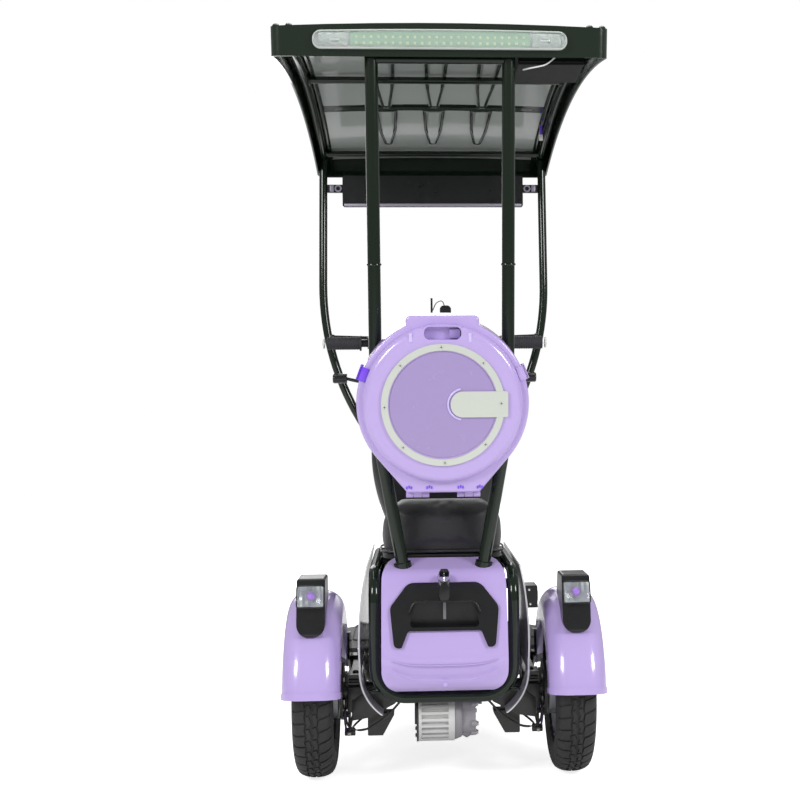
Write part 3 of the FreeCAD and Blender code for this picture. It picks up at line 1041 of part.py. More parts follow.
# Indicator pods on stalks from the cowl.
pods = []
for side in (-1, 1):
    pod_in = V(side * (GRIP_X[1] - 46.0), STEER_Y + 70.0, 925.0)
    pod = rod(tuple(pod_in), (side * (GRIP_X[1] - 4.0), pod_in.y, pod_in.z), 14.5)
    pod = pod.makeFillet(5.0, pod.Edges[:1])
    stalk = tube((tuple(pod_in + V(side * 4.0, 0, 0)), (side * 180.0, pod_in.y - 5.0, 905.0),
                  (side * 120.0, pod_in.y - 10.0, 870.0)), 5.0, (60.0,))
    pods.append(fused([pod, stalk]).cut(cowl_block(-FIT_GAP, 0.0)))
nodes["indicators"] = Part.makeCompound([solid for pod in pods for solid in pod.Solids])


# Roof: a shallow tray turned about a far axis, with a skirt all round.
def roof_block(inset, open_drop):
    half = ROOF_X - inset
    low = ROOF_R - open_drop
    high = ROOF_R + ROOF_SKIRT - inset
    rows = [V(-half, ROOF_MID_Y, roof_axis_z + low), V(half, ROOF_MID_Y, roof_axis_z + low),
            V(half, ROOF_MID_Y, roof_axis_z + high), V(0, ROOF_MID_Y, roof_axis_z + high + ROOF_CROWN),
            V(-half, ROOF_MID_Y, roof_axis_z + high)]
    wire = Part.Wire([
        Part.LineSegment(rows[0], rows[1]).toShape(), Part.LineSegment(rows[1], rows[2]).toShape(),
        Part.Arc(rows[2], rows[3], rows[4]).toShape(), Part.LineSegment(rows[4], rows[0]).toShape(),
    ])
    front_turn = math.degrees(math.asin((ROOF_Y[1] - inset - ROOF_MID_Y) / ROOF_R))
    rear_turn = math.degrees(math.asin((ROOF_MID_Y - ROOF_Y[0] - inset) / ROOF_R))
    face = Part.Face(wire)
    face.rotate(V(0, ROOF_MID_Y, roof_axis_z), X_AXIS, rear_turn)
    block = face.revolve(V(0, ROOF_MID_Y, roof_axis_z), X_AXIS, -rear_turn - front_turn)
    ends = [edge for edge in block.Edges if abs(edge.BoundBox.XMax - edge.BoundBox.XMin) < 0.01
            and edge.BoundBox.YMax - edge.BoundBox.YMin < 40.0]
    return block.makeFillet(ROOF_CORNER_R - inset, ends)


roof_outer = roof_block(0.0, 0.0)
roof_inner = roof_block(ROOF_T, 5.0)


def roof_strip(half_x, mid_x, rear_y, front_y, drop):
    """A bar under the roof's skin, drop deep, turned along the roof's arc between two Y values."""
    high = ROOF_R + ROOF_SKIRT - ROOF_T + ROOF_CROWN
    low = ROOF_R + ROOF_SKIRT - ROOF_T - drop
    face = Part.Face(outline((
        (mid_x - half_x, low, 0), (mid_x + half_x, low, 0), (mid_x + half_x, high, 0), (mid_x - half_x, high, 0),
    ), "XZ"))
    face.rotate(V(0, 0, 0), X_AXIS, math.degrees(math.asin((ROOF_MID_Y - rear_y) / high)))
    turn = math.degrees(math.asin((ROOF_MID_Y - rear_y) / high) + math.asin((front_y - ROOF_MID_Y) / high))
    strip = face.revolve(V(0, 0, 0), X_AXIS, -turn)
    strip.translate(V(0, ROOF_MID_Y, roof_axis_z))
    return strip


# Pressed ribs stiffen the tray from below: three lengthwise and two across.
rib_run = (ROOF_Y[0] + 60.0, ROOF_Y[1] - 90.0)
ribs = [roof_strip(15.0, x, rib_run[0], rib_run[1], ROOF_RIB_T - ROOF_CROWN) for x in (-132.0, 0.0, 132.0)]
for rib_y in (60.0, 640.0):
    ribs.append(roof_strip(ROOF_X - 46.0, 0.0, rib_y, rib_y + 26.0, ROOF_RIB_T - ROOF_CROWN))
ribs = [rib.common(roof_outer) for rib in ribs]
nodes["roof_panel"] = fused([roof_outer.cut(roof_inner)] + ribs)

# Roof frame: side rails on the roof's arc and three cross tubes.
roof_rails = [roof_rail(side, FRONT_POST_R) for side in (-1, 1)]
roof_crosses = []
REAR_CROSS_Y = -190.0
for cross_y in (REAR_CROSS_Y, ROOF_MID_Y - 25.0, FRONT_POST_Y - 20.0):
    cross_z = roof_z(cross_y, rail_drop)
    roof_crosses.append(rod((-FRONT_POST_X, cross_y, cross_z), (FRONT_POST_X, cross_y, cross_z), ROOF_CROSS_R))
post_seats = []
for side in (-1, 1):
    post_seats.append(rod((side * post_top[0], REAR_CROSS_Y, roof_z(REAR_CROSS_Y, rail_drop)),
                          (side * post_top[0], post_top[1] + REAR_POST_R + FIT_GAP + 1.0, post_top[2] - 8.0), 8.0))
grown_posts = [tube([(side * x, y, z) for x, y, z in REAR_POST], REAR_POST_R + FIT_GAP, (REAR_POST_BEND_R,)) for side in (-1, 1)]
nodes["roof_frame"] = fused(roof_rails + roof_crosses + post_seats).cut(Part.makeCompound(grown_posts))

# Rear light bar on the roof's rear lip.
light_rows = (
    (-LIGHT_X, LIGHT_Z[0], 8.0), (LIGHT_X, LIGHT_Z[0], 8.0), (LIGHT_X, LIGHT_Z[1] - 4.0, 8.0), (0, LIGHT_Z[1] + 3.0, 900.0),
    (-LIGHT_X, LIGHT_Z[1] - 4.0, 8.0),
)
bar_block = prism(light_rows, "XZ", ROOF_Y[0] - LIGHT_T, ROOF_Y[0] + 30.0)
nodes["roof_light"] = bar_block.cut(roof_block(-FIT_GAP, 10.0)).cut(box((-400, 400), (ROOF_Y[0] + 2.0, 0), (1400, 1700)))

# Visor under the roof's front edge, on lugs from the front posts.
visor = prism((
    (-VISOR_X, VISOR_Z[0], 6.0), (VISOR_X, VISOR_Z[0], 6.0), (VISOR_X, VISOR_Z[1], 6.0), (-VISOR_X, VISOR_Z[1], 6.0),
), "XZ", FRONT_POST_Y - 8.0, FRONT_POST_Y + 8.0)
lug_z = (VISOR_Z[0] + VISOR_Z[1]) / 2.0 + 8.0
post_share = (rail_z - lug_z) / (rail_z - FRONT_KNEE[1])
post_gap_x = FRONT_POST_X + (FRONT_KNEE[0] - FRONT_POST_X) * post_share - FRONT_POST_R - FIT_GAP
lug_plates = [box(sorted((side * (VISOR_X - 5.0), side * post_gap_x)), (FRONT_POST_Y - 5.0, FRONT_POST_Y + 5.0),
                  (lug_z - 12.0, lug_z + 12.0)) for side in (-1, 1)]
nodes["visor"] = fused([visor] + lug_plates)

# Control box of the roof's lamp, hung under the rear cross tube on the right.
box_top_z = roof_z(REAR_CROSS_Y, rail_drop) - ROOF_CROSS_R - FIT_GAP
nodes["roof_box"] = prism((
    (ROOF_BOX_X[0], ROOF_BOX_Z, 4.0), (ROOF_BOX_X[1], ROOF_BOX_Z, 4.0), (ROOF_BOX_X[1], box_top_z, 0),
    (ROOF_BOX_X[0], box_top_z, 0),
), "XZ", ROOF_BOX_Y[0], ROOF_BOX_Y[1])

# Brake cables: from each brake arm forward and under the floor rail.
cable_x = AXLE_END_X - BRAKE_PLATE_T - 16.0 - FIT_GAP - CABLE_R
cable_low_z = TYRE_R - 88.0
cable_end_z = RAIL_Z - RAIL_R - FIT_GAP - CABLE_R
cable = tube((
    (cable_x, -22.0, cable_low_z), (cable_x, 40.0, cable_low_z), (RAIL_X, 132.0, cable_end_z), (RAIL_X, FLOOR_Y[0] - 5.0, cable_end_z),
), CABLE_R, (40.0, 60.0))
nodes["brake_cables"] = both_sides(cable)

for name, shape in nodes.items():
    moved = shape.copy()
    moved.translate(V(0, -ORIGIN_Y, 0))
    moved.exportStep("parts/" + name + ".step")
    solids = moved.Solids
    print(name, len(solids), moved.isValid(), round(sum(solid.Volume for solid in solids)))
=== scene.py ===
import bmesh
import bpy
import math
from mathutils import Matrix, Vector


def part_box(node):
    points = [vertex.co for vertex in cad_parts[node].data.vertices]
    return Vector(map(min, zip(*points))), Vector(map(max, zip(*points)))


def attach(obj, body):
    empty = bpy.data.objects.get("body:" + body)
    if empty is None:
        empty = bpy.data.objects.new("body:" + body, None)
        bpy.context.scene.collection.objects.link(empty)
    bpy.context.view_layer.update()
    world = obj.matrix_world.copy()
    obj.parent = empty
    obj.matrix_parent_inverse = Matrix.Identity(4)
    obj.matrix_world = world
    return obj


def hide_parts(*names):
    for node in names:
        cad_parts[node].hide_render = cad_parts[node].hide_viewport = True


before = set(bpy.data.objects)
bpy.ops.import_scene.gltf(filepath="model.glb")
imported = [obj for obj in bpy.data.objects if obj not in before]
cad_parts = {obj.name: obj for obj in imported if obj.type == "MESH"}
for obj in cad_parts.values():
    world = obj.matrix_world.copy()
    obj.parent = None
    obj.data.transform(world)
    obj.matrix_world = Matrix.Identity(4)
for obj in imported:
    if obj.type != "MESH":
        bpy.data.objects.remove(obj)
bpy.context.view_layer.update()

# The studio: a camera some three metres behind the tricycle at the height of its box, turned a
# little to the right, and a white sheet under broad soft lamps at each side, above and ahead.
axle_low, axle_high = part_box("tyre_rear_left")
REAR_AXLE_Y = (axle_low.y + axle_high.y) / 2 * 1000


def at(x, y, z):
    """A point in millimetres, counted forward from the rear axle and up from the ground."""
    return Vector((x, y + REAR_AXLE_Y, z)) / 1000


CAMERA_SPOT, LAMPS_AIM = at(-56, -3053, 807), at(0, 450, 800)
CAMERA_PAN, CAMERA_TILT, CAMERA_ROLL = (math.radians(angle) for angle in (3.41, 0.52, 0.55))
scene = bpy.context.scene
camera = bpy.data.objects.new("camera", bpy.data.cameras.new("camera"))
camera.data.lens = 60.1
camera.data.sensor_width = 36
camera.data.shift_x = -0.12
camera.data.shift_y = 0.0056
camera.matrix_world = (
    Matrix.Translation(CAMERA_SPOT) @ Matrix.Rotation(-CAMERA_PAN, 4, "Z")
    @ Matrix.Rotation(math.pi / 2 + CAMERA_TILT, 4, "X") @ Matrix.Rotation(-CAMERA_ROLL, 4, "Z")
)
scene.collection.objects.link(camera)
scene.camera = camera
scene.view_settings.view_transform = "Standard"

for lamp_name, place, size, power in (
    ("lamp_left", (-2500, -2500, 2300), 1.1, 70),
    ("lamp_right", (2600, -2200, 2100), 1.0, 58),
    ("lamp_above", (0, 300, 3600), 2.2, 55),
    ("lamp_ahead", (-600, 3600, 2200), 2.4, 45),
):
    lamp = bpy.data.objects.new(lamp_name, bpy.data.lights.new(lamp_name, "AREA"))
    lamp.data.size = size
    lamp.data.energy = power
    lamp.location = at(*place)
    lamp.rotation_euler = (LAMPS_AIM - at(*place)).to_track_quat("-Z", "Y").to_euler()
    scene.collection.objects.link(lamp)


def feed(node, values):
    """Sets inputs of a shader node by name or number, or links them where the value is a socket."""
    for key, value in values.items():
        if isinstance(value, bpy.types.NodeSocket):
            node.id_data.links.new(value, node.inputs[key])
        else:
            node.inputs[key].default_value = value


def maths(tree, kind, *values, clamp=False):
    """One step of arithmetic on sockets or plain values."""
    node = tree.nodes.new("ShaderNodeMath")
    node.operation = kind
    node.use_clamp = clamp
    feed(node, dict(enumerate(values)))
    return node.outputs[0]


def vector_maths(tree, kind, *values):
    """One step of vector arithmetic on sockets or plain vectors."""
    node = tree.nodes.new("ShaderNodeVectorMath")
    node.operation = kind
    feed(node, dict(enumerate(values)))
    return node.outputs


def seen_white(tree):
    """1 where the camera looks, straight or through glass, otherwise 0."""
    path = tree.nodes.new("ShaderNodeLightPath").outputs
    return maths(tree, "MAXIMUM", path["Is Camera Ray"], path["Is Transmission Ray"])


# The sky looks white to the camera but lights the tricycle less than that.
studio = bpy.data.worlds.new("studio")
scene.world = studio
studio.use_nodes = True
sky_tree = studio.node_tree
sky_level = sky_tree.nodes.new("ShaderNodeMapRange")
feed(sky_level, {"Value": seen_white(sky_tree), "To Min": 0.37, "To Max": 1.0})
feed(sky_tree.nodes["Background"], {"Color": (1, 1, 1, 1), "Strength": sky_level.outputs[0]})

# The sheet glows for the camera alone, less near the tricycle, so that a pale shadow stays.
sheet_mesh = bmesh.new()
bmesh.ops.create_grid(sheet_mesh, x_segments=1, y_segments=1, size=9.0)
sheet_data = bpy.data.meshes.new("studio_floor")
sheet_mesh.to_mesh(sheet_data)
sheet_mesh.free()
studio_floor = bpy.data.objects.new("studio_floor", sheet_data)
scene.collection.objects.link(studio_floor)
paper = bpy.data.materials.new("white_paper")
paper.use_nodes = True
paper_tree = paper.node_tree
paper_place = paper_tree.nodes.new("ShaderNodeTexCoord").outputs["Object"]
paper_reach = vector_maths(paper_tree, "LENGTH", paper_place)["Value"]
paper_fade = paper_tree.nodes.new("ShaderNodeMapRange")
feed(paper_fade, {"Value": paper_reach, "From Min": 1.0, "From Max": 2.4, "To Min": 0.78, "To Max": 1.0})
paper_glow = maths(paper_tree, "MULTIPLY", seen_white(paper_tree), paper_fade.outputs[0])
feed(paper_tree.nodes["Principled BSDF"], {"Base Color": (0.9, 0.9, 0.9, 1), "Roughness": 0.9,
                                           "Emission Color": (1, 1, 1, 1), "Emission Strength": paper_glow})
studio_floor.data.materials.append(paper)

# Tyres: three small pneumatic road tyres of black rubber, moulded with a zigzag centre groove,
# two outer grooves and slanted shoulder blocks, each seated on its rim.


def tint(code):
    """An sRGB colour code as linear values."""
    values = [int(code[i:i + 2], 16) / 255 for i in (1, 3, 5)]
    return [v / 12.92 if v <= 0.04045 else ((v + 0.055) / 1.055) ** 2.4 for v in values] + [1.0]


def noise(tree, vector, scale, detail=3.0):
    """The value of a noise texture over the vector."""
    node = tree.nodes.new("ShaderNodeTexNoise")
    feed(node, {"Vector": vector, "Scale": scale, "Detail": detail})
    return node.outputs[0]


def mixed(tree, share, first, second):
    """The first colour with a share of the second in it."""
    node = tree.nodes.new("ShaderNodeMix")
    node.data_type = "RGBA"
    feed(node, {0: share, 6: first, 7: second})
    return node.outputs[2]


# Every finish varies a little in tone and gloss, has a fine moulded or sprayed grain, and holds
# dust low down.
ROAD_DUST = [0.34, 0.31, 0.27, 1.0]
handled = bpy.data.node_groups.new("handled_surface", "ShaderNodeTree")
for way, sockets in (
    ("INPUT", {"Vector": "Vector", "Colour": "Color", "Tone": "Float", "Roughness": "Float",
               "Rub": "Float", "Grain Scale": "Float", "Dust": "Float"}),
    ("OUTPUT", {"Colour": "Color", "Roughness": "Float", "Height": "Float"}),
):
    for socket_name, kind in sockets.items():
        handled.interface.new_socket(socket_name, in_out=way, socket_type="NodeSocket" + kind)
put = handled.nodes.new("NodeGroupInput").outputs
patches = maths(handled, "SUBTRACT", noise(handled, put["Vector"], 4.0), 0.5)
tone = maths(handled, "MULTIPLY", patches, put["Tone"])
shade = handled.nodes.new("ShaderNodeHueSaturation")
feed(shade, {"Value": maths(handled, "ADD", tone, 1.0), "Color": put["Colour"]})
low = handled.nodes.new("ShaderNodeSeparateXYZ")
feed(low, {0: put["Vector"]})
near_ground = maths(handled, "SUBTRACT", 1.0, maths(handled, "MULTIPLY", low.outputs[2], 2.2), clamp=True)
specks = maths(handled, "MULTIPLY", near_ground, noise(handled, put["Vector"], 26.0, 5.0))
dusty = maths(handled, "MULTIPLY", specks, put["Dust"], clamp=True)
rubbed = maths(handled, "SUBTRACT", noise(handled, put["Vector"], 38.0, 4.0), 0.5)
smears = maths(handled, "MULTIPLY", rubbed, put["Rub"])
gloss = maths(handled, "ADD", put["Roughness"], smears)
gloss = maths(handled, "ADD", gloss, maths(handled, "MULTIPLY", dusty, 0.3), clamp=True)
feed(handled.nodes.new("NodeGroupOutput"), {
    "Colour": mixed(handled, dusty, shade.outputs[0], ROAD_DUST), "Roughness": gloss,
    "Height": noise(handled, put["Vector"], put["Grain Scale"], 2.0),
})


def finish(name, colour, rough, metal=0.0, tone=0.06, rub=0.06, grain=0.0, grain_scale=900.0, dust=0.0,
           coat=0.0, through=0.0, index=1.5, shine=0.5, sheen=0.0, extra_height=None):
    """A material of one finish. Its tone and rub are how much colour and gloss vary, its grain how deep
    the fine relief is, its dust how much lies low down; extra_height(tree, vector) adds a relief.
    """
    material = bpy.data.materials.new(name)
    material.use_nodes = True
    tree = material.node_tree
    shader = tree.nodes["Principled BSDF"]
    place = tree.nodes.new("ShaderNodeTexCoord").outputs["Object"]
    life = tree.nodes.new("ShaderNodeGroup")
    life.node_tree = handled
    feed(life, {"Vector": place, "Colour": tint(colour), "Tone": tone, "Roughness": rough, "Rub": rub,
                "Grain Scale": grain_scale, "Dust": dust})
    feed(shader, {"Base Color": life.outputs["Colour"], "Roughness": life.outputs["Roughness"],
                  "Metallic": metal, "IOR": index, "Specular IOR Level": shine, "Sheen Weight": sheen,
                  "Coat Weight": coat, "Coat Roughness": 0.04, "Transmission Weight": through})
    height = life.outputs["Height"]
    if extra_height:
        height = maths(tree, "ADD", maths(tree, "MULTIPLY", height, grain), extra_height(tree, place))
    if grain or extra_height:
        bump = tree.nodes.new("ShaderNodeBump")
        feed(bump, {"Strength": 1.0 if extra_height else grain, "Distance": 0.0006, "Height": height})
        feed(shader, {"Normal": bump.outputs[0]})
    return material


def piece(name, mesh, material, body, sharp=32.0, outward=True):
    """The finished bmesh as an object that rides on a body of the frame."""
    bmesh.ops.remove_doubles(mesh, verts=mesh.verts[:], dist=1e-6)
    if outward:
        bmesh.ops.recalc_face_normals(mesh, faces=mesh.faces[:])
    data = bpy.data.meshes.new(name)
    mesh.to_mesh(data)
    mesh.free()
    data.shade_smooth()
    data.set_sharp_from_angle(angle=math.radians(sharp))
    data.materials.append(material)
    made = bpy.data.objects.new(name, data)
    scene.collection.objects.link(made)
    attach(made, body)
    return made


def lathed(mesh, rows, centre, axis="X", steps=48, closed=True):
    """Rows of (along the axis, radius) in millimetres, turned a full circle about the axis through
    the centre.
    """
    turn = {"X": Matrix.Identity(4), "Y": Matrix.Rotation(math.pi / 2, 4, "Z")}.get(axis)
    if turn is None:
        turn = Vector((1, 0, 0)).rotation_difference(Vector(axis)).to_matrix().to_4x4()
    put_at = Matrix.Translation(at(*centre)) @ turn
    before = set(mesh.verts)
    start = [mesh.verts.new((along / 1000, 0, radius / 1000)) for along, radius in rows]
    line = [mesh.edges.new(pair) for pair in zip(start, start[1:])]
    if closed:
        line.append(mesh.edges.new((start[-1], start[0])))
    bmesh.ops.spin(mesh, geom=start + line, cent=(0, 0, 0), axis=(1, 0, 0), dvec=(0, 0, 0),
                   angle=2 * math.pi, steps=steps, use_merge=True, use_duplicate=False)
    fresh = [v for v in mesh.verts if v not in before]
    bmesh.ops.transform(mesh, matrix=put_at, verts=fresh)
    bmesh.ops.remove_doubles(mesh, verts=fresh, dist=1e-7)


TYRE_R, WHEEL_X, WHEELBASE = 188, 286, 1110
WHEELS = (("rear_left", -WHEEL_X, 0), ("rear_right", WHEEL_X, 0), ("front", 0, WHEELBASE))
TREAD_PITCHES, CELLS = 40, 6
CENTRE_GROOVE, OUTER_GROOVE, SHOULDER, TREAD_EDGE, BLOCKS_EDGE = 3, 11, 15, 39, 42.5
GROOVE_DEPTH, ZIGZAG, ZIGZAG_EDGE, SLANT, SLANT_EDGE = 3.0, 2.6, 30, -0.055, 40
tyre_rubber = finish("tyre_rubber", "#1b1b1d", 0.6, tone=0.25, rub=0.2, grain=0.25, grain_scale=700,
                     dust=0.07)
half_rows = [
    (0, 188.0), (3.5, 187.9), (11, 187.3), (15, 186.7), (23, 184.6), (30, 181.8), (36, 177.5), (40, 171.5),
    (42.6, 165), (44.2, 158), (45, 150), (43.6, 149), (43.2, 143), (44, 141.5), (42, 137), (38, 131),
    (36.5, 127.2), (34.2, 126.2), (32.4, 124.5), (30.5, 122.8),
]
tyre_rows = [(-x, r) for x, r in reversed(half_rows[1:])] + half_rows
for wheel, tyre_x, tyre_y in WHEELS:
    tyre = bmesh.new()
    lathed(tyre, tyre_rows, (tyre_x, tyre_y, TYRE_R), steps=TREAD_PITCHES * CELLS, closed=False)
    centre = at(tyre_x, tyre_y, TYRE_R)
    grooves = []
    for face in tyre.faces:
        middle = face.calc_center_median() - centre
        across = abs(middle.x) * 1000
        turn = math.atan2(middle.z, middle.y) % (2 * math.pi)
        cell = int(turn / (2 * math.pi) * TREAD_PITCHES * CELLS + 0.5) % CELLS
        round_groove = across < CENTRE_GROOVE or OUTER_GROOVE < across < SHOULDER
        rib_cut = CENTRE_GROOVE < across < OUTER_GROOVE and cell == 3
        shoulder_cut = SHOULDER < across < TREAD_EDGE and cell == 0
        if round_groove or rib_cut or shoulder_cut:
            grooves.append(face)
    sunk = bmesh.ops.extrude_face_region(tyre, geom=grooves)
    bmesh.ops.delete(tyre, geom=grooves, context="FACES_ONLY")
    for vert in {v for v in sunk["geom"] if isinstance(v, bmesh.types.BMVert)}:
        from_axle = Vector((0, vert.co.y - centre.y, vert.co.z - centre.z))
        vert.co -= from_axle.normalized() * GROOVE_DEPTH / 1000
    for vert in tyre.verts:
        offset = vert.co - centre
        across = abs(offset.x) * 1000
        if across > BLOCKS_EDGE:
            continue
        turn = math.atan2(offset.z, offset.y)
        zigzag = abs((turn / (2 * math.pi) * TREAD_PITCHES) % 1 - 0.5) * 4 - 1
        vert.co.x += zigzag * ZIGZAG / 1000 * max(0.0, 1 - across / ZIGZAG_EDGE)
        slant = SLANT * min(across, SLANT_EDGE) / SLANT_EDGE * (1 if offset.x > 0 else -1)
        vert.co = centre + Matrix.Rotation(slant, 3, "X") @ (vert.co - centre)
    road_tyre = piece("road_tyre_" + wheel, tyre, tyre_rubber, "wheel_" + wheel, sharp=28)
    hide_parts("tyre_" + wheel)

# Rims: cast alloy wheels with five windows, lacquered silver, with a turned cap over each hub
# and a rubber valve in the barrel.


def coated(material, *names):
    """Gives solids of the frame their finish."""
    for name in names:
        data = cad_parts[name].data
        data.materials.clear()
        data.materials.append(material)


def circle(radius, angles):
    """The two sides of the radius at each of the angles in degrees."""
    turns = [math.radians(angle) for angle in angles]
    return [(radius * math.cos(turn), radius * math.sin(turn)) for turn in turns]


def bevelled(mesh, edges, width):
    """Rounds the edges off by a width in millimetres."""
    bmesh.ops.bevel(mesh, geom=list(edges), offset=width / 1000, affect="EDGES", segments=2, profile=0.5,
                    material=-1)


def drum(mesh, start, end, radius, end_radius=None, *, sides, bevel=0.0):
    """A round bar or cone between two points given in millimetres."""
    start, end = at(*start), at(*end)
    run = end - start
    place = Matrix.Translation((start + end) / 2) @ run.to_track_quat("Z", "Y").to_matrix().to_4x4()
    made = bmesh.ops.create_cone(mesh, cap_ends=True, segments=sides, radius1=radius / 1000,
                                 radius2=(radius if end_radius is None else end_radius) / 1000,
                                 depth=run.length, matrix=place)
    if bevel:
        rims = {e for v in made["verts"] for e in v.link_edges if e.calc_face_angle(0) > 1.0}
        bevelled(mesh, rims, bevel)


def bent(points, radius, steps=6):
    """The points with each inner corner rounded off, in millimetres."""
    points = [Vector(p) for p in points]
    path = [points[0]]
    for before, corner, after in zip(points, points[1:], points[2:]):
        back, ahead = (before - corner).normalized(), (after - corner).normalized()
        start, end = corner + back * radius, corner + ahead * radius
        for step in range(steps + 1):
            share = step / steps
            path.append(start * (1 - share) ** 2 + corner * 2 * share * (1 - share) + end * share ** 2)
    return path + [points[-1]]


def edges_among(verts):
    """The edges that join the vertices to each other."""
    return [e for e in {e for v in verts for e in v.link_edges} if all(v in verts for v in e.verts)]


def swept(mesh, path, radius, sides=12, loop=False):
    """A round tube along a path given in millimetres, its ends closed unless it is a loop."""
    path = [at(*p) for p in path]
    count = len(path)
    ring = bmesh.ops.create_circle(mesh, cap_ends=False, segments=sides, radius=radius / 1000)["verts"]
    runs = [(path[(i + 1) % count] - path[i]).normalized() for i in range(count if loop else count - 1)]
    turns = []
    for i in range(count):
        before = runs[i - 1] if i or loop else runs[0]
        after = runs[i] if i < len(runs) else runs[-1]
        turns.append((before + after).normalized())
    spin = turns[0].to_track_quat("Z", "Y")
    bmesh.ops.transform(mesh, matrix=Matrix.Translation(path[0]) @ spin.to_matrix().to_4x4(), verts=ring)
    first, current = ring, ring
    for i in range(1, count):
        made = bmesh.ops.extrude_edge_only(mesh, edges=edges_among(current))["geom"]
        following = [v for v in made if isinstance(v, bmesh.types.BMVert)]
        step = turns[i - 1].rotation_difference(turns[i]).to_matrix().to_4x4()
        move = Matrix.Translation(path[i]) @ step @ Matrix.Translation(-path[i - 1])
        bmesh.ops.transform(mesh, matrix=move, verts=following)
        current = following
    rims = [edges_among(end) for end in (first, current)]
    if loop:
        bmesh.ops.bridge_loops(mesh, edges=rims[0] + rims[1])
    else:
        for edges in rims:
            bmesh.ops.contextual_create(mesh, geom=edges)


cast_silver = finish("cast_silver", "#b9bcc0", 0.34, metal=0.85, tone=0.08, rub=0.12, grain=0.12, dust=0.1)
coated(cast_silver, "rim_rear_left", "rim_rear_right", "rim_front")
black_rubber = finish("black_rubber", "#1b1b1d", 0.6, grain=0.3, dust=0.1)
for wheel, x, y in WHEELS:
    outward = -1 if x < 0 else 1
    trim = bmesh.new()
    for side in ((outward,) if x else (-1, 1)):
        cap = [(side * 30.2, 26), (side * 31.5, 27), (side * 33, 24), (side * 33, 16), (side * 30.2, 16)]
        lathed(trim, cap, (x, y, TYRE_R))
        for up, along in circle(62, range(36, 360, 72)):
            spot = (x + side * 6, y + along, TYRE_R + up)
            drum(trim, spot, (spot[0] + side * 4, spot[1], spot[2]), 5, 4, sides=12)
        lip = [(side * 31.2, 118), (side * 33, 119), (side * 33, 123.5), (side * 31.2, 124.5)]
        lathed(trim, lip, (x, y, TYRE_R), steps=96)
    piece("rim_trim_" + wheel, trim, cast_silver, "wheel_" + wheel)
    valve = bmesh.new()
    stem = [(x + outward * along, y, TYRE_R + up) for along, up in ((12, 117.2), (12, 96), (34, 84))]
    swept(valve, bent(stem, 9), 3.6)
    cap_start, cap_end = (x + outward * 31, y, TYRE_R + 85.5), (x + outward * 38, y, TYRE_R + 82)
    drum(valve, cap_start, cap_end, 4.4, sides=10, bevel=0.8)
    piece("tyre_valve_" + wheel, valve, black_rubber, "wheel_" + wheel)

# Axle, springs and brakes: welded steel tube and forged parts in gloss black with road dust,
# leaf springs clamped by U bolts, and a drum brake arm at each end with its rod.


def slab(mesh, outline, push, bevel=0.0):
    """A flat face through the outline's points in millimetres, pushed by a vector in millimetres."""
    verts = [mesh.verts.new(at(*p)) for p in outline]
    face = mesh.faces.new(verts)
    made = bmesh.ops.extrude_face_region(mesh, geom=[face])["geom"]
    moved = [v for v in made if isinstance(v, bmesh.types.BMVert)]
    bmesh.ops.translate(mesh, verts=moved, vec=Vector(push) / 1000)
    if bevel:
        rims = {e for v in verts + moved for e in v.link_edges if len(e.link_faces) == 2
                and e.calc_face_angle(0) > 0.9}
        bevelled(mesh, rims, bevel)


def hexes(mesh, places, axis, radius, height):
    """Hexagon bolt heads standing on the places along the axis."""
    for place in places:
        foot, run = Vector(place), Vector(axis) * height
        drum(mesh, foot, foot + run, radius, radius * 0.92, sides=6)
        drum(mesh, foot - run * 0.3, foot + run * 0.2, radius * 1.25, sides=20)


black_steel = finish("black_steel", "#111312", 0.34, tone=0.3, rub=0.2, grain=0.12, grain_scale=500,
                     dust=0.2, coat=0.25)
coated(black_steel, "rear_axle", "leaf_springs", "spring_clamps", "brake_cables")
zinc = finish("zinc_plate", "#a9a9a2", 0.32, metal=0.9, tone=0.15, rub=0.15, grain=0.1)
violet_sleeve = finish("violet_sleeve", "#5b2f86", 0.4, grain=0.15)
SPRING_X, CLAMP_X, CLAMP_Y = 199, 21.5, 12
irons, bolts, sleeves = bmesh.new(), bmesh.new(), bmesh.new()
for side in (-1, 1):
    # a folded gusset from the axle's end up and in to the foot of the hoop
    gusset = ((86, 196), (150, 214), (206, 176), (206, 132), (168, 138), (110, 168))
    slab(irons, [(side * x, -58, z) for x, z in gusset], (0, 5, 0), 1.5)
    bracket = ((176, 150), (216, 150), (216, 206), (176, 206))
    slab(irons, [(side * x, -56, z) for x, z in bracket], (0, 22, 0), 3)
    for y, low, high in ((0, 148, 230), (240, 166, 229)):
        for dy in (-CLAMP_Y, CLAMP_Y):
            for dx in (-CLAMP_X, CLAMP_X):
                x = side * SPRING_X + dx
                drum(bolts, (x, y + dy, low), (x, y + dy, high), 3.2, sides=10)
                hexes(bolts, [(x, y + dy, low + 2)], (0, 0, 1), 5.6, 4.5)
    # the brake arm's clevis with a rod inside a spring, and the adjusting nut at its end
    drum(irons, (side * 200, -17, 99), (side * 224, -17, 99), 9, sides=16, bevel=1.5)
    drum(bolts, (side * 213, -26, 99), (side * 213, -42, 99), 4.5, sides=12, bevel=0.8)
    swept(irons, bent([(side * 213, -30, 99), (side * 208, -34, 128), (side * 196, -30, 168)], 14), 2.8)
    swept(sleeves, bent([(side * 220, -24, 104), (side * 224, -30, 132), (side * 219, -34, 158)], 12), 2.4)
    rod = ((222, -44, 154), (216, -50, 112), (176, -52, 108), (128, -60, 140), (96, -60, 176))
    swept(irons, bent([(side * x, y, z) for x, y, z in rod], 22), 2.6)
piece("axle_gussets", irons, black_steel, "chassis")
piece("axle_bolts", bolts, zinc, "chassis")
piece("wire_sleeves", sleeves, violet_sleeve, "chassis")

# Motor and gearbox: a finned motor case of cast alloy, closed by a black end plate, bolted to a
# rough grey gear casting with ribs and a row of flange bolts.


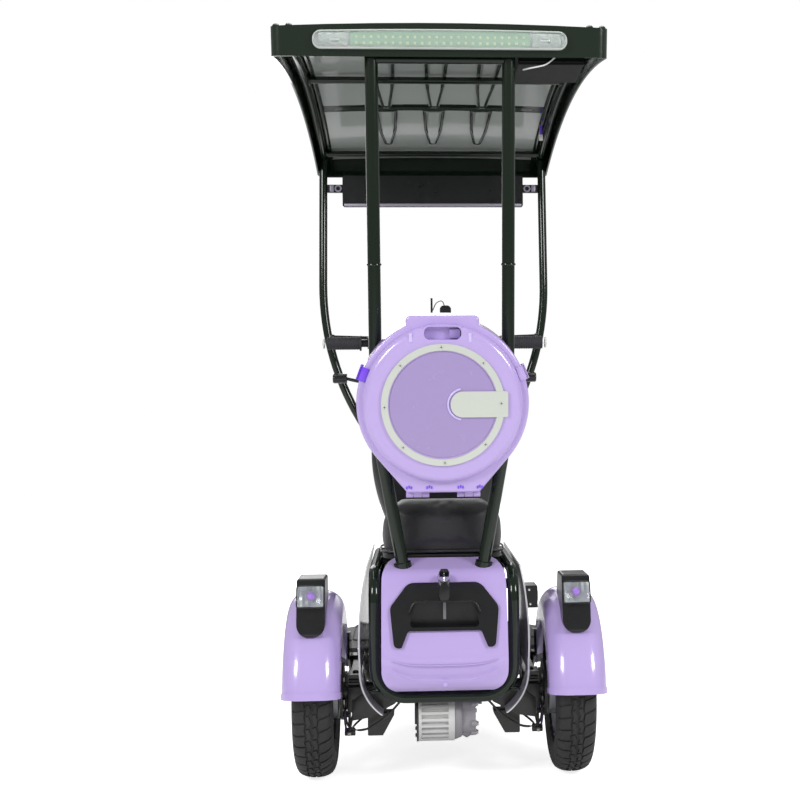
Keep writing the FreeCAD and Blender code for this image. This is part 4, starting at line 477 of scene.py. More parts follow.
def block(mesh, low, high, bevel=0.0):
    """A box between two corners given in millimetres, with bevelled edges."""
    low, high = at(*low), at(*high)
    place = Matrix.Translation((low + high) / 2) @ Matrix.Diagonal((*(high - low), 1))
    made = bmesh.ops.create_cube(mesh, size=1, matrix=place)
    if bevel:
        bevelled(mesh, {e for v in made["verts"] for e in v.link_edges}, bevel)


def round_motor(x, radius, angle):
    """A place on a circle round the motor's axis."""
    return Vector((x, MOTOR_Y + radius * math.cos(angle), MOTOR_Z + radius * math.sin(angle)))


MOTOR_Y, MOTOR_Z = -76, 150
motor_alloy = finish("motor_alloy", "#d9dad8", 0.42, metal=0.4, tone=0.12, rub=0.2, grain=0.3,
                     grain_scale=420, dust=0.08)
gear_casting = finish("gear_casting", "#96949a", 0.6, metal=0.35, tone=0.25, rub=0.2, grain=0.9,
                      grain_scale=240, dust=0.15)
coated(motor_alloy, "motor")
coated(gear_casting, "gearbox")
end_plate = bmesh.new()
for start, end, radius, sides, bevel in ((-62, -57.2, 61, 72, 1.2), (-66, -61, 24, 36, 1.5)):
    drum(end_plate, (start, MOTOR_Y, MOTOR_Z), (end, MOTOR_Y, MOTOR_Z), radius, sides=sides, bevel=bevel)
plate_bolts = [round_motor(-62, 48, angle) for angle in (0.5, 1.55, 2.6, 3.65, 4.7, 5.75)]
hexes(end_plate, plate_bolts, (-1, 0, 0), 4.2, 3)
piece("motor_end_plate", end_plate, black_steel, "chassis")
casting, casing_bolts = bmesh.new(), bmesh.new()
drum(casting, (21.8, MOTOR_Y, MOTOR_Z), (38, MOTOR_Y, MOTOR_Z), 58.5, 52, sides=48, bevel=2)
for step in range(9):
    angle = math.radians(200 + step * 38)
    boss = round_motor(58, 45, angle)
    drum(casting, boss, boss + Vector((12, 0, 0)), 8, 6.5, sides=14, bevel=1.2)
    hexes(casing_bolts, [round_motor(70, 45, angle)], (1, 0, 0), 4.6, 4)
for y, z in ((-112, 128), (-96, 110), (-72, 103), (-46, 105), (-20, 112), (8, 128)):
    block(casting, (30, y - 3, z - 5), (62, y + 3, z + 18), 1.6)
drum(casting, (66, -30, 196), (80, -30, 196), 22, 18, sides=32, bevel=3)
drum(casting, (50, -62, 104), (50, -50, 96), 9, sides=6)
piece("gear_casting_ribs", casting, gear_casting, "chassis")
piece("gear_casing_bolts", casing_bolts, zinc, "chassis")

# Frame: bent steel tube, welded and sprayed in a gloss black that looks faintly green in the light.
# A bead of weld stands round each joint.
frame_paint = finish("frame_paint", "#0b1a0d", 0.12, tone=0.3, rub=0.06, shine=0.5)
coated(frame_paint, "main_frame", "seat_frame", "rear_posts", "front_posts", "roof_frame", "fork")
BEAD_ROWS = [(2.4 * math.cos(a * math.pi / 4), 2.0 * math.sin(a * math.pi / 4)) for a in range(8)]
ROOF_ARC_Y, ROOF_ARC_Z, ROOF_TUBE_R = 355, -1683, 3344


def weld(mesh, place, axis, radius):
    """A bead of weld with small ripples round a tube of the radius."""
    before = set(mesh.verts)
    lathed(mesh, [(along, radius + out) for along, out in BEAD_ROWS], place, axis=axis, steps=40)
    for index, vert in enumerate(v for v in mesh.verts if v not in before):
        vert.co += (vert.co - at(*place)) * (0.02 * (index % 3 - 1))


welds = bmesh.new()
cross_y = 330
cross_z = ROOF_ARC_Z + math.sqrt(ROOF_TUBE_R ** 2 - (cross_y - ROOF_ARC_Y) ** 2)
for side in (-1, 1):
    weld(welds, (side * 89, -100, 466), (0, 0, 1), 14.2)
    weld(welds, (side * 151, -150, 216), (0, 0, 1), 12.6)
    weld(welds, (side * 144, -186, 1135), (0, -0.168, 0.986), 14.1)
    weld(welds, (side * 318, cross_y, cross_z), (1, 0, 0), 11.2)
piece("frame_welds", welds, frame_paint, "chassis")

# Battery: a sealed block in a black plastic case, moulded with a fine grain, which stands in the
# frame under the saddle.
coated(finish("battery_case", "#202224", 0.55, tone=0.1, grain=0.5, grain_scale=600), "battery")

# Footboard: thick moulded plastic in dark grey, with a pebbled tread and a turned-down edge; a
# raised line frames the ribs under the rider's feet.


def pebbles(tree, place):
    """The floor's moulded leather-like pebbles."""
    cells = tree.nodes.new("ShaderNodeTexVoronoi")
    feed(cells, {"Vector": place, "Scale": 260.0})
    return maths(tree, "MULTIPLY", cells.outputs["Distance"], 1.4)


floor_plastic = finish("floor_plastic", "#2b2c2f", 0.55, tone=0.2, rub=0.2, grain=0.6, grain_scale=700,
                       dust=0.15, extra_height=pebbles)
coated(floor_plastic, "footboard")
floor_lines = bmesh.new()
mat_corners = ((0, 440), (228, 440), (228, 692), (-228, 692), (-228, 440), (0, 440))
mat_line = bent([(x, y, 230.4) for x, y in mat_corners], 24)[:-1]
swept(floor_lines, mat_line, 1.6, sides=8, loop=True)
for x in range(-180, 181, 45):
    swept(floor_lines, [(x, 470, 229.9), (x, 660, 229.9)], 1.8, sides=8)
piece("floor_mat_lines", floor_lines, floor_plastic, "chassis")

# Rear cover: a glossy lilac injection moulding over the motor, with two pressed lines across its
# foot and a screw cap between them.
lilac_paint = finish("lilac_paint", "#bba6df", 0.2, tone=0.05, rub=0.06, coat=0.5)
coated(lilac_paint, "rear_cover", "fender_left", "fender_right", "front_apron", "front_fender", "box_body",
       "box_lid")
cover_lines = bmesh.new()
LINE_HALF = 112
for z, rise in ((280, 12), (249, 22)):
    line = [(x, -214.1, z + rise * (abs(x) / LINE_HALF) ** 4) for x in range(-LINE_HALF, LINE_HALF + 1, 8)]
    swept(cover_lines, line, 1.2, sides=8)
drum(cover_lines, (0, -213.5, 240), (0, -216.4, 240), 5, sides=24, bevel=0.8)
piece("cover_lines", cover_lines, lilac_paint, "chassis")

# Grab plate: a black arched plastic plate clipped over the cover, with a finger pocket under its
# rolled lip.
black_plastic = finish("black_plastic", "#0f1012", 0.3, tone=0.2, rub=0.15, grain=0.25, coat=0.12)
coated(black_plastic, "grab_plate", "tail_lamps", "switch_box", "phone_holder", "visor", "brake_levers",
       "stem_clamp", "leg_shield", "lower_shield")
plate_trim = bmesh.new()
lip_line = [(-76, -200.6, 392), (-66, -199.6, 414), (66, -199.6, 414), (76, -200.6, 392)]
swept(plate_trim, bent(lip_line, 12), 2.2)
piece("pocket_lip", plate_trim, black_plastic, "chassis")

# Seat lock: a chrome barrel in the cover's slope with its key in it; a second key with a black
# grip hangs from the key's ring.
chrome_metal = finish("chrome_metal", "#dcdee0", 0.08, metal=1.0, tone=0.02, rub=0.04)
coated(chrome_metal, "seat_lock")
key_metal = bmesh.new()
lathed(key_metal, [(15.5, 6), (17.5, 6), (17.5, 13.5), (15.5, 14)], (0, -147, 451), axis=(0, -0.74, 0.673))
block(key_metal, (-1, -166, 457), (1, -160, 466), 0.3)
key_ring = [(0, -185 + y, 459 + z) for y, z in circle(11, range(0, 360, 20))]
swept(key_metal, key_ring, 1.1, sides=8, loop=True)
steel_grey = finish("steel_grey", "#77797c", 0.35, metal=0.8, tone=0.2, rub=0.2)
spare_key = bmesh.new()
block(spare_key, (-3.2, -199.2, 376), (3.2, -197, 418), 0.5)
piece("spare_key", spare_key, steel_grey, "chassis")
piece("key_metal", key_metal, chrome_metal, "chassis")
key_grips = bmesh.new()
grip = [(-10, -182, 464), (10, -182, 464), (11, -192, 474), (7, -199, 481), (-7, -199, 481),
        (-11, -192, 474)]
slab(key_grips, grip, (0, 2.4, 2.6), 1)
spare_grip = ((-7, 414), (7, 414), (11, 424), (11, 444), (6, 453), (-6, 453), (-11, 444), (-11, 424))
slab(key_grips, [(x, -196, z) for x, z in spare_grip], (0, -4.5, 0), 1.2)
piece("key_grips", key_grips, black_plastic, "chassis")

# Pearl panels: the white side skins and the panel under the seat's front, sprayed mouldings that
# chrome screws hold to the frame.
pearl_paint = finish("pearl_paint", "#dfdee2", 0.22, tone=0.04, rub=0.06, coat=0.5)
coated(pearl_paint, "side_panels", "seat_front_panel")
panel_screws = bmesh.new()
for side in (-1, 1):
    for y, z in ((-106, 300), (404, 404)):
        drum(panel_screws, (side * 185.5, y, z), (side * 189.5, y, z), 5, sides=20, bevel=0.9)
piece("panel_screws", panel_screws, chrome_metal, "chassis")

# Switch box: a black moulding on the right panel, closed by two small screws at its back, with a
# rocker on its side.
switch_screws = bmesh.new()
for x, z in ((193, 418), (195, 386)):
    drum(switch_screws, (x, -59.5, z), (x, -61.8, z), 3, sides=16, bevel=0.6)
piece("switch_screws", switch_screws, chrome_metal, "chassis")
rocker = bmesh.new()
block(rocker, (211.6, -44, 390), (214.2, -12, 414), 1)
piece("switch_rocker", rocker, black_plastic, "chassis")

# Fenders: lilac injection mouldings with a lower lip, each held by two zinc bolts down through its
# crown.
FENDER_R = 227.5
fender_bolts = bmesh.new()
for side in (-1, 1):
    for along, up in circle(1, (64, 98)):
        run = Vector((0, along, up))
        spot = Vector((side * WHEEL_X, 0, TYRE_R)) + run * FENDER_R
        drum(fender_bolts, spot, spot + run * 3.5, 6, 4.5, sides=20, bevel=1)
piece("fender_bolts", fender_bolts, zinc, "chassis")

# Tail lamps: a black housing on each fender's back, with a pressed chrome bowl of flat facets, a
# violet-coated bulb and a clear cover over them.


def ball(mesh, centre, radius, segments=24, rings=16):
    """A sphere of a radius in millimetres."""
    bmesh.ops.create_uvsphere(mesh, u_segments=segments, v_segments=rings, radius=radius / 1000,
                              matrix=Matrix.Translation(at(*centre)))


LAMP_Z = 426
bowls, bulbs, covers, lamp_rims = bmesh.new(), bmesh.new(), bmesh.new(), bmesh.new()
for side in (-1, 1):
    lamp_x = side * WHEEL_X
    grid = bmesh.ops.create_grid(bowls, x_segments=10, y_segments=7, size=1)["verts"]
    for vert in grid:
        across, up = vert.co.x, vert.co.y
        depth = 19 * (1 - across * across) * (1 - up * up * 0.8)
        facet = 1.6 * math.sin(across * 17 + up * 23)
        vert.co = at(lamp_x + across * 27.5, -178 + (up + 1) * 5 + depth + facet, LAMP_Z + up * 20.5)
    drum(bulbs, (lamp_x, -158, LAMP_Z), (lamp_x, -166, LAMP_Z), 6, sides=24)
    ball(bulbs, (lamp_x, -169, LAMP_Z), 8.5)
    cover = ((-28, -184.6, 404.5), (28, -184.6, 404.5), (28, -172.4, 447.5), (-28, -172.4, 447.5))
    slab(covers, [(lamp_x + x, y, z) for x, y, z in cover], (0, 2, 0.6), 0.8)
    rim = ((0, -186, 403), (29, -186, 403), (29, -172.6, 448.6), (-29, -172.6, 448.6), (-29, -186, 403),
           (0, -186, 403))
    swept(lamp_rims, bent([(lamp_x + x, y, z) for x, y, z in rim], 6)[:-1], 1.5, sides=8, loop=True)
pressed_chrome = finish("pressed_chrome", "#c9cfc8", 0.25, metal=0.3, tone=0.1, rub=0.1)
piece("lamp_bowls", bowls, pressed_chrome, "chassis", sharp=1, outward=False)
lens_clear = finish("lens_clear", "#f2f5f6", 0.04, through=1.0, index=1.45)
lamp_covers = piece("lamp_covers", covers, lens_clear, "chassis")
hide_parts("lamp_lenses")
violet_glass = finish("violet_glass", "#b07be8", 0.15, coat=0.5)
piece("lamp_bulbs", bulbs, violet_glass, "chassis")
piece("lamp_rims", lamp_rims, black_plastic, "chassis")

# Round rear box: a lilac moulding with a drop lid, leaned back with its posts. A disc is inlaid in
# the lid inside a silver ring that eight cross-head screws hold.
LEAN_AT, LEAN = at(0, -127, 790), math.radians(9.70)


def leaned(mesh):
    """The upright mesh leaned back about the posts' line."""
    turn = Matrix.Translation(LEAN_AT) @ Matrix.Rotation(LEAN, 4, "X") @ Matrix.Translation(-LEAN_AT)
    bmesh.ops.transform(mesh, matrix=turn, verts=mesh.verts[:])
    return mesh


BOX_Z, RING_R = 851, 123
inlay_paint = finish("inlay_paint", "#a08ec0", 0.26, tone=0.05, rub=0.08, coat=0.4)
inlay = bmesh.new()
lathed(inlay, [(-233.1, 1), (-234.4, 1), (-234.4, 112), (-233.1, 113.5)], (0, 0, BOX_Z), axis="Y", steps=96)
piece("lid_inlay", leaned(inlay), inlay_paint, "lid")
silver_trim = finish("silver_trim", "#cfd4cb", 0.35, metal=0.25, tone=0.03, rub=0.06)
coated(silver_trim, "lid_ring", "lid_tab")
ring_screws, ring_screw_shade = bmesh.new(), bmesh.new()
for step in range(8):
    turn = math.radians(45 * step + 1.5)
    x, z = RING_R * math.cos(turn), BOX_Z + RING_R * math.sin(turn)
    back = -238.3 if step == 0 else -237.3  # the first one goes through the tab
    drum(ring_screws, (x, back + 0.3, z), (x, back - 1.4, z), 4.0, sides=24, bevel=0.7)
    # Painted shade: a thin black cross on each screw head stands for the shade in its cross recess.
    block(ring_screw_shade, (x - 2.4, back - 1.6, z - 0.5), (x + 2.4, back - 1.3, z + 0.5))
    block(ring_screw_shade, (x - 0.5, back - 1.6, z - 2.4), (x + 0.5, back - 1.3, z + 2.4))
piece("ring_screws", leaned(ring_screws), silver_trim, "lid")
piece("ring_screw_recess_shade", leaned(ring_screw_shade), black_plastic, "lid")

# Lid tab: a silver pull plate across the ring; a crescent lip is moulded in the disc round its
# inner end, and its pale lilac is a painted highlight.
groove = bmesh.new()
crescent = [(43.5 + x, -234.6, 852.5 + z) for x, z in circle(33, range(100, 261, 8))]
swept(groove, crescent, 2.2, sides=12)
# A pale lilac that paints a highlight on the raised crescent lip and on the pads beside the slot.
lilac_painted_highlight = finish("lilac_painted_highlight", "#cdbff0", 0.25, tone=0.04, coat=0.3)
piece("tab_groove", leaned(groove), lilac_painted_highlight, "lid")

# Lid handle: a finger slot in the raised top, with a grey catch at its right end and a moulded
# mark at each side, whose pale lilac is a painted highlight.
catch = bmesh.new()
block(catch, (14, -220, 990.5), (37, -213, 1010), 1.5)
catch_lilac = finish("catch_lilac", "#9f8cc6", 0.4, tone=0.08)
piece("slot_catch", leaned(catch), catch_lilac, "lid")
pad_highlights = bmesh.new()
# Painted highlight: the raised pads are coloured paler than the lid for the light they catch.
for x in (-67, 57):
    block(pad_highlights, (x - 3.5, -234.4, 984), (x + 3.5, -232.5, 1003), 1)
piece("lid_pads_painted_highlight", leaned(pad_highlights), lilac_painted_highlight, "lid")

# Latches: a violet plastic snap at the left of the lid's rim and a lilac one at the right, hooked
# over the edge of the box.
violet_plastic = finish("violet_plastic", "#7a48e8", 0.3, tone=0.05, coat=0.3)
snaps = bmesh.new()
for side in (-1, 1):
    start = len(snaps.verts)
    block(snaps, (183.4, -205, 834), (190.6, -192, 868), 2)
    block(snaps, (170, -219.6, 836), (190.6, -216.5, 866), 1.3)
    block(snaps, (184, -219.6, 836), (190.6, -204, 866), 1.3)
    snaps.verts.ensure_lookup_table()
    fresh = snaps.verts[start:]
    round_box = Matrix.Rotation(math.radians(-21), 3, "Y")
    bmesh.ops.rotate(snaps, cent=at(0, 0, BOX_Z), matrix=round_box, verts=fresh)
    if side < 0:
        bmesh.ops.scale(snaps, vec=(-1, 1, 1), verts=fresh)
lid_snaps = piece("lid_snaps", leaned(snaps), violet_plastic, "lid")
lid_snaps.data.materials.append(lilac_paint)
for face in lid_snaps.data.polygons:
    face.material_index = 1 if face.center.x > 0 else 0
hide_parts("lid_latches")

# Lid hinge: violet plastic pins through the knuckles at the lid's foot, which show in four groups
# of three.
pins = bmesh.new()
for x in (-73, -30, 37, 78):
    for step in (-1, 0, 1):
        pin_x, pin_z = x + step * 5, 669 - abs(step) * 2
        block(pins, (pin_x - 1.6, -218, pin_z), (pin_x + 1.6, -216, pin_z + 6), 0.5)
piece("hinge_pins", leaned(pins), violet_plastic, "lid")

# Roof: a vacuum-formed tray in black-green gloss plastic, with two rounded beads pressed along each
# edge, and boat-shaped stiffening beads on its underside.


def roof_top(x, y, above):
    """Height of the roof's skin over a place, moved out from it."""
    reach = ROOF_R + above + ROOF_CROWN * (1 - (x / ROOF_HALF) ** 2)
    return ROOF_ARC_Z + math.sqrt(reach ** 2 - (y - ROOF_ARC_Y) ** 2)


ROOF_R, ROOF_CROWN, ROOF_HALF = 3360, 8, 350
PANEL_REACH, BAND_HALF = 3.3515, 0.027
roof_plastic, roof_skin = (finish(name, "#122014", 0.18, tone=0.15, rub=0.08, coat=0.4, shine=0.4)
                           for name in ("roof_plastic", "roof_skin"))
# The pressed panels of the underside, where they face down, are painted grey as a reflection of
# the bright floor in the dark gloss, between two dark bands.
skin_tree = roof_skin.node_tree
skin_shader = skin_tree.nodes["Principled BSDF"]
skin_place = skin_tree.nodes.new("ShaderNodeTexCoord").outputs["Object"]
skin_side = vector_maths(skin_tree, "MULTIPLY", skin_place, (0, 1, 1))["Vector"]
skin_reach = vector_maths(skin_tree, "DISTANCE", skin_side, at(0, ROOF_ARC_Y, ROOF_ARC_Z))["Value"]
painted_reflection_mask = maths(skin_tree, "GREATER_THAN", skin_reach, PANEL_REACH)
skin_spot = skin_tree.nodes.new("ShaderNodeSeparateXYZ")
feed(skin_spot, {0: skin_place})
for band_y in (73, 653):
    past = maths(skin_tree, "SUBTRACT", skin_spot.outputs[1], at(0, band_y, 0).y)
    past = maths(skin_tree, "ABSOLUTE", past)
    painted_reflection_mask = maths(skin_tree, "MULTIPLY", painted_reflection_mask, maths(skin_tree, "GREATER_THAN", past, BAND_HALF))
skin_normal = skin_tree.nodes.new("ShaderNodeNewGeometry").outputs["True Normal"]
skin_facing = skin_tree.nodes.new("ShaderNodeSeparateXYZ")
feed(skin_facing, {0: skin_normal})
painted_reflection_mask = maths(skin_tree, "MULTIPLY", painted_reflection_mask, maths(skin_tree, "LESS_THAN", skin_facing.outputs[2], -0.5))
plain = skin_shader.inputs["Base Color"].links[0].from_socket
# The grey mixed in here is a painted reflection of the floor, not the plastic's colour.
feed(skin_shader, {"Base Color": mixed(skin_tree, painted_reflection_mask, plain, tint("#999f9a"))})
coated(roof_skin, "roof_panel")
roof_beads = bmesh.new()
for x in (-338, -312, 312, 338):
    run = [(x, y, roof_top(x, y, -3)) for y in range(-287, 1046, 37)]
    swept(roof_beads, run, 9, sides=16)
    for end in (run[0], run[-1]):
        ball(roof_beads, end, 9, 16, 10)
piece("roof_beads", roof_beads, roof_plastic, "chassis")
boats = bmesh.new()
for x in (-132, 0, 132):
    for start, end in ((-226, 92), (120, 640), (672, 940)):
        half, shoulder = 27, start + (end - start) * 0.6
        plan = [(x, start), (x + half, start), (x + half * 0.8, shoulder), (x + 8, end), (x - 8, end),
                (x - half * 0.8, shoulder), (x - half, start), (x, start)]
        path = bent([(px, py, 0) for px, py in plan], 7)[:-1]
        fine = []
        for before, after in zip(path, path[1:] + path[:1]):
            pieces = max(1, int((after - before).length / 60))
            fine += [before.lerp(after, step / pieces) for step in range(pieces)]
        swept(boats, [(p.x, p.y, roof_top(p.x, p.y, -6.5)) for p in fine], 4.2, sides=10, loop=True)
piece("roof_boats", boats, roof_plastic, "chassis")

# Rear light bar: a clear polycarbonate cover with a pale rim on the roof's lip, over a green board
# of small square diodes, with a chrome reflector and bulb at each end.


def capsule(x, low, high, radius, y, rise):
    """A rounded rectangle across the tricycle, its top edge raised in the middle."""
    plan = []
    for cx, cz, first in ((x - radius, high - radius, 0), (radius - x, high - radius, 90),
                          (radius - x, low + radius, 180), (x - radius, low + radius, 270)):
        angles = [first + 90 * step / 8 for step in range(9)]
        plan += [(cx + along, y, cz + up) for along, up in circle(radius, angles)]
        if first == 0:
            plan += [(cx * part, y, high + rise * (1 - part * part)) for part in (0.6, 0.3, 0.0, -0.3, -0.6)]
    return plan


BAR_Z = 1584
pale_grey = finish("pale_grey", "#e6e8e6", 0.4, tone=0.05)
bar_tray = bmesh.new()
slab(bar_tray, capsule(262, 1566, 1602, 17, -301.6, 3), (0, 1.2, 0))
piece("light_bar_tray", bar_tray, pale_grey, "chassis")
bar_rim = bmesh.new()
swept(bar_rim, capsule(261, 1567, 1601.5, 16, -307.5, 3), 1.7, sides=10, loop=True)
swept(bar_rim, capsule(261, 1567, 1601.5, 16, -303.5, 3), 2.0, sides=10, loop=True)
rim_grey = finish("rim_grey", "#b4bcb6", 0.25, tone=0.05, coat=0.3)
piece("light_bar_rim", bar_rim, rim_grey, "chassis")
bar_cover = bmesh.new()
slab(bar_cover, capsule(261, 1567, 1601.5, 16, -307, 3), (0, -1.6, 0), 0.6)
light_cover = piece("light_bar_cover", bar_cover, lens_clear, "chassis")
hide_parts("roof_light")
board_green = finish("board_green", "#b3cbb6", 0.4, tone=0.2)
board = bmesh.new()
slab(board, capsule(186, 1569, 1600.5, 3, -303.2, 2.5), (0, 1.2, 0))
piece("diode_board", board, board_green, "chassis")
die_amber = finish("die_amber", "#dce3c4", 0.3, tone=0.1)
dies = bmesh.new()
COLUMNS, COLUMNS_X = 24, 172
for column in range(COLUMNS):
    for z in (1578, 1590):
        x = -COLUMNS_X + column * 2 * COLUMNS_X / (COLUMNS - 1)
        block(dies, (x - 2.6, -304.6, z - 2.6), (x + 2.6, -303, z + 2.6), 0.4)
piece("diodes", dies, die_amber, "chassis")
strip_pink = finish("strip_pink", "#d9a9c4", 0.4, tone=0.05)
strip = bmesh.new()
block(strip, (-240, -306, 1566.5), (240, -303, 1570), 0.6)
piece("bar_strip", strip, strip_pink, "chassis")
end_bowls, end_bulbs = bmesh.new(), bmesh.new()
for side in (-1, 1):
    grid = bmesh.ops.create_grid(end_bowls, x_segments=12, y_segments=6, size=1)["verts"]
    for vert in grid:
        across, up = vert.co.x, vert.co.y
        depth = 3.6 * (1 - across * across) * (1 - up * up * 0.7) + 0.7 * math.sin(across * 9 + up * 7)
        vert.co = at(side * 220 + across * 30, -306 + depth, BAR_Z + up * 14)
    drum(end_bulbs, (side * 206, -304.6, BAR_Z), (side * 222, -304.6, BAR_Z), 2.2, sides=16)
    ball(end_bulbs, (side * 225, -304.6, BAR_Z), 3, 20, 12)
piece("bar_bowls", end_bowls, pressed_chrome, "chassis", sharp=1, outward=False)
piece("bar_bulbs", end_bulbs, pale_grey, "chassis")

# Roof fittings: the lamp's control box under the rear cross tube with its thin white lead, and a
# violet strap with a pale plug by the right rail.
coated(finish("matt_black", "#0b0f0c", 0.6, tone=0.2, grain=0.4, shine=0.2), "roof_box")
leads = bmesh.new()
lead = [(250, -264.5, 1600), (248, -267, 1566), (222, -268, 1544), (188, -264, 1538), (176, -240, 1541)]
swept(leads, bent(lead, 10), 1.7)
block(leads, (301, 742, 1596), (312, 750, 1612), 1)
piece("lamp_lead", leads, pale_grey, "chassis")
strap = bmesh.new()
block(strap, (303, 744, 1611), (310, 748, 1640), 0.8)
piece("rail_strap", strap, violet_plastic, "chassis")
box_lip = bmesh.new()
block(box_lip, (166, -264, 1551), (302, -261.6, 1554), 0.8)
for x in (174, 294):
    drum(box_lip, (x, -261.8, 1594), (x, -264.2, 1594), 3.5, sides=16, bevel=0.6)
piece("roof_box_lip", box_lip, black_plastic, "chassis")

# Visor: a black plastic panel under the roof's front, with a grey strip along its foot, on lugs
# with a round hole that reach to the front posts.
visor_trim = bmesh.new()
block(visor_trim, (-268, 989.4, 1446), (268, 992.2, 1454), 1)
for side in (-1, 1):
    eye = [(-6.4, 6), (-8.2, 6.5), (-8.2, 10.5), (-6.4, 11)]
    lathed(visor_trim, eye, (side * 286, 1000, 1500), axis="Y", steps=32)
    low_x, high_x = sorted((side * 299, side * 311))
    block(visor_trim, (low_x, 990, 1490), (high_x, 994.6, 1510), 1)
lug_grey = finish("lug_grey", "#8f8a9a", 0.35, metal=0.2, tone=0.08)
piece("visor_trim", visor_trim, lug_grey, "chassis")

# Saddle: a rigid pan under foam and a stretched black leather cover, which swells between its
# edges; a piping runs round its foot.
coated(black_plastic, "seat_pan")


def creases(tree, place):
    """Fine creases of stretched leather."""
    cells = tree.nodes.new("ShaderNodeTexVoronoi")
    cells.feature = "DISTANCE_TO_EDGE"
    feed(cells, {"Vector": place, "Scale": 420.0})
    return maths(tree, "MINIMUM", cells.outputs["Distance"], 0.35)


def made_real(pad, kind, **settings):
    """Gives the pad a modifier with the settings and applies it."""
    modifier = pad.modifiers.new(kind, kind)
    for setting, value in settings.items():
        setattr(modifier, setting, value)
    bpy.ops.object.modifier_apply(modifier=modifier.name)


def stuffed(name, node, body, swell):
    """A pad of the frame remade as cloth that its filling blows up by no more than the swell."""
    source = bmesh.new()
    source.from_mesh(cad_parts[node].data)
    bmesh.ops.remove_doubles(source, verts=source.verts[:], dist=1e-5)
    bmesh.ops.recalc_face_normals(source, faces=source.faces[:])
    low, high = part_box(node)
    middle, half = (low + high) / 2, (high - low) / 2
    for vert in source.verts:
        for axis in range(3):
            share = 1 - swell * SHRINK / 1000 / half[axis]
            vert.co[axis] = middle[axis] + (vert.co[axis] - middle[axis]) * share
    pad = piece(name, source, saddle_leather, body, sharp=180)
    bpy.context.view_layer.objects.active = pad
    made_real(pad, "REMESH", mode="VOXEL", voxel_size=0.006)
    rest = [vert.co.copy() for vert in pad.data.vertices]
    cloth = pad.modifiers.new("filling", "CLOTH")
    cloth.settings.use_pressure = True
    cloth.settings.uniform_pressure_force = 4.0
    cloth.settings.quality = 6
    cloth.settings.tension_stiffness = 25
    cloth.settings.compression_stiffness = 25
    cloth.settings.bending_stiffness = 2.0
    cloth.settings.effector_weights.gravity = 0.0
    for frame_number in range(1, FILLING_FRAMES + 1):
        scene.frame_set(frame_number)
    bpy.ops.object.modifier_apply(modifier="filling")
    scene.frame_set(1)
    for vert, start in zip(pad.data.vertices, rest):
        move = vert.co - start
        if move.length > swell / 1000:
            move.length = swell / 1000
        vert.co = start + move
        for axis in range(3):
            vert.co[axis] = min(max(vert.co[axis], low[axis]), high[axis])
    made_real(pad, "SMOOTH", iterations=4)
    made_real(pad, "SUBSURF", levels=1)
    pad.data.shade_smooth()
    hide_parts(node)
    return pad


saddle_leather = finish("saddle_leather", "#18171c", 0.4, tone=0.3, rub=0.25, grain=0.5,
                        extra_height=creases, sheen=0.25)
FILLING_FRAMES, SHRINK = 20, 0.55
scene.frame_start, scene.frame_end = 1, FILLING_FRAMES
stuffed("saddle_cover", "seat_cushion", "seat", 6)
right_edge = [(137, -59), (142.5, 92), (91, 268), (74, 436)]
left_edge = [(-x, y) for x, y in reversed(right_edge)]
saddle_rim = [(x, y, 507) for x, y in [(0, -59)] + right_edge + left_edge + [(0, -59)]]
piping = bmesh.new()
swept(piping, bent(saddle_rim, 34)[:-1], 2.4, sides=8, loop=True)
piece("saddle_piping", piping, saddle_leather, "seat")

# Backrest: a round padded disc in the same leather, fixed in front of the rear posts, with a piping
# round its edge.
stuffed("backrest_cover", "backrest_pad", "chassis", 5)
pad_piping = bmesh.new()
pad_edge = [(x, -96, 800 + z) for x, z in circle(158, range(0, 360, 6))]
swept(pad_piping, pad_edge, 2.2, sides=8, loop=True)
piece("backrest_piping", leaned(pad_piping), saddle_leather, "chassis")

# Handlebar: a bent steel bar in satin black, with rubber grips ribbed across and silver end caps
# that are screwed in; a brake lever is clamped on at each side.
bar_metal = finish("bar_metal", "#1a1b1d", 0.3, metal=0.3, tone=0.1)
coated(bar_metal, "handlebar")
grip_rubber = finish("grip_rubber", "#2c2b31", 0.6, tone=0.15, grain=0.6, grain_scale=520)
coated(grip_rubber, "grips")
BAR_Y, GRIP_Z = 850, 1024
grip_ribs, end_caps = bmesh.new(), bmesh.new()
for side in (-1, 1):
    for step in range(13):
        rib_x = side * (226 + step * 7)
        rib = [(rib_x - 1.8, 17.6), (rib_x - 1.0, 18.9), (rib_x + 1.0, 18.9), (rib_x + 1.8, 17.6)]
        lathed(grip_ribs, rib, (0, BAR_Y, GRIP_Z), steps=32)
    drum(end_caps, (side * 320, BAR_Y, GRIP_Z), (side * 325, BAR_Y, GRIP_Z), 15.5, sides=36, bevel=1.5)
    drum(end_caps, (side * 325, BAR_Y, GRIP_Z), (side * 326.5, BAR_Y, GRIP_Z), 6, sides=6)
piece("grip_ribs", grip_ribs, grip_rubber, "steering")
piece("bar_end_caps", end_caps, silver_trim, "steering")

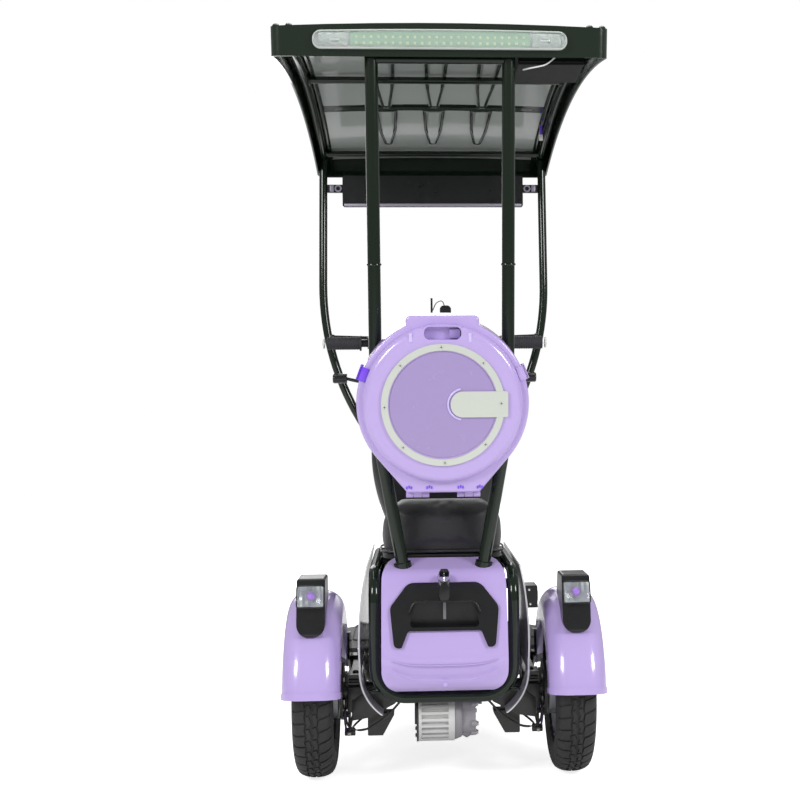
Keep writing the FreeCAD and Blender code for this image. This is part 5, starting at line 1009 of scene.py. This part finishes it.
# Phone holder: a folded black clip screwed to the stem's clamp, with a thin wire loop between its
# jaws.
clip_wire = bmesh.new()
swept(clip_wire, bent([(-6, 868, 1120), (4, 866, 1143), (22, 866, 1150), (31, 866, 1128)], 8), 1.3, sides=8)
piece("clip_wire", clip_wire, bar_metal, "steering")

# Indicators: glossy black plastic pods on stalks beside the cowl, each with a round amber lens
# pressed into its front.
coated(finish("indicator_black", "#16161a", 0.25, tone=0.1, coat=0.3), "indicators")
amber = finish("amber_lens", "#c4621a", 0.12, tone=0.1, coat=0.4)
pod_lenses = bmesh.new()
for side in (-1, 1):
    drum(pod_lenses, (side * 284, 963.5, 925), (side * 284, 966, 925), 9, sides=32, bevel=0.8)
piece("indicator_lenses", pod_lenses, amber, "chassis")

# Headlight: a pressed chrome bowl and a bulb behind a thin domed glass, which a chrome bezel holds
# on the apron.
HEAD = (0, 1146, 690)
head_bowl, head_glass, head_bulb, head_bezel = bmesh.new(), bmesh.new(), bmesh.new(), bmesh.new()
bowl_rows = [(-38, 12), (-30, 32), (-14, 50), (-5, 57), (-5, 59.5), (-16, 53), (-33, 35), (-42, 12)]
glass_rows = [(-6, 57), (-3, 48), (-1.6, 24), (-1.2, 1), (-3.2, 1), (-3.8, 24), (-5.4, 47), (-7.6, 56)]
bezel_rows = [(-12, 60.5), (-7, 61.9), (-2, 61.5), (-0.2, 59), (-1.5, 56.8), (-7, 57.5), (-12, 58)]
lathed(head_bowl, bowl_rows, HEAD, axis="Y", steps=64)
lathed(head_glass, glass_rows, HEAD, axis="Y", steps=64)
drum(head_bulb, (0, 1108, 690), (0, 1122, 690), 9, sides=24)
ball(head_bulb, (0, 1126, 690), 10)
lathed(head_bezel, bezel_rows, HEAD, axis="Y", steps=72)
piece("headlight_bowl", head_bowl, chrome_metal, "chassis")
head_lens = piece("headlight_glass", head_glass, lens_clear, "chassis")
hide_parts("headlight")
piece("headlight_bulb", head_bulb, pale_grey, "chassis")
piece("headlight_bezel", head_bezel, chrome_metal, "chassis")
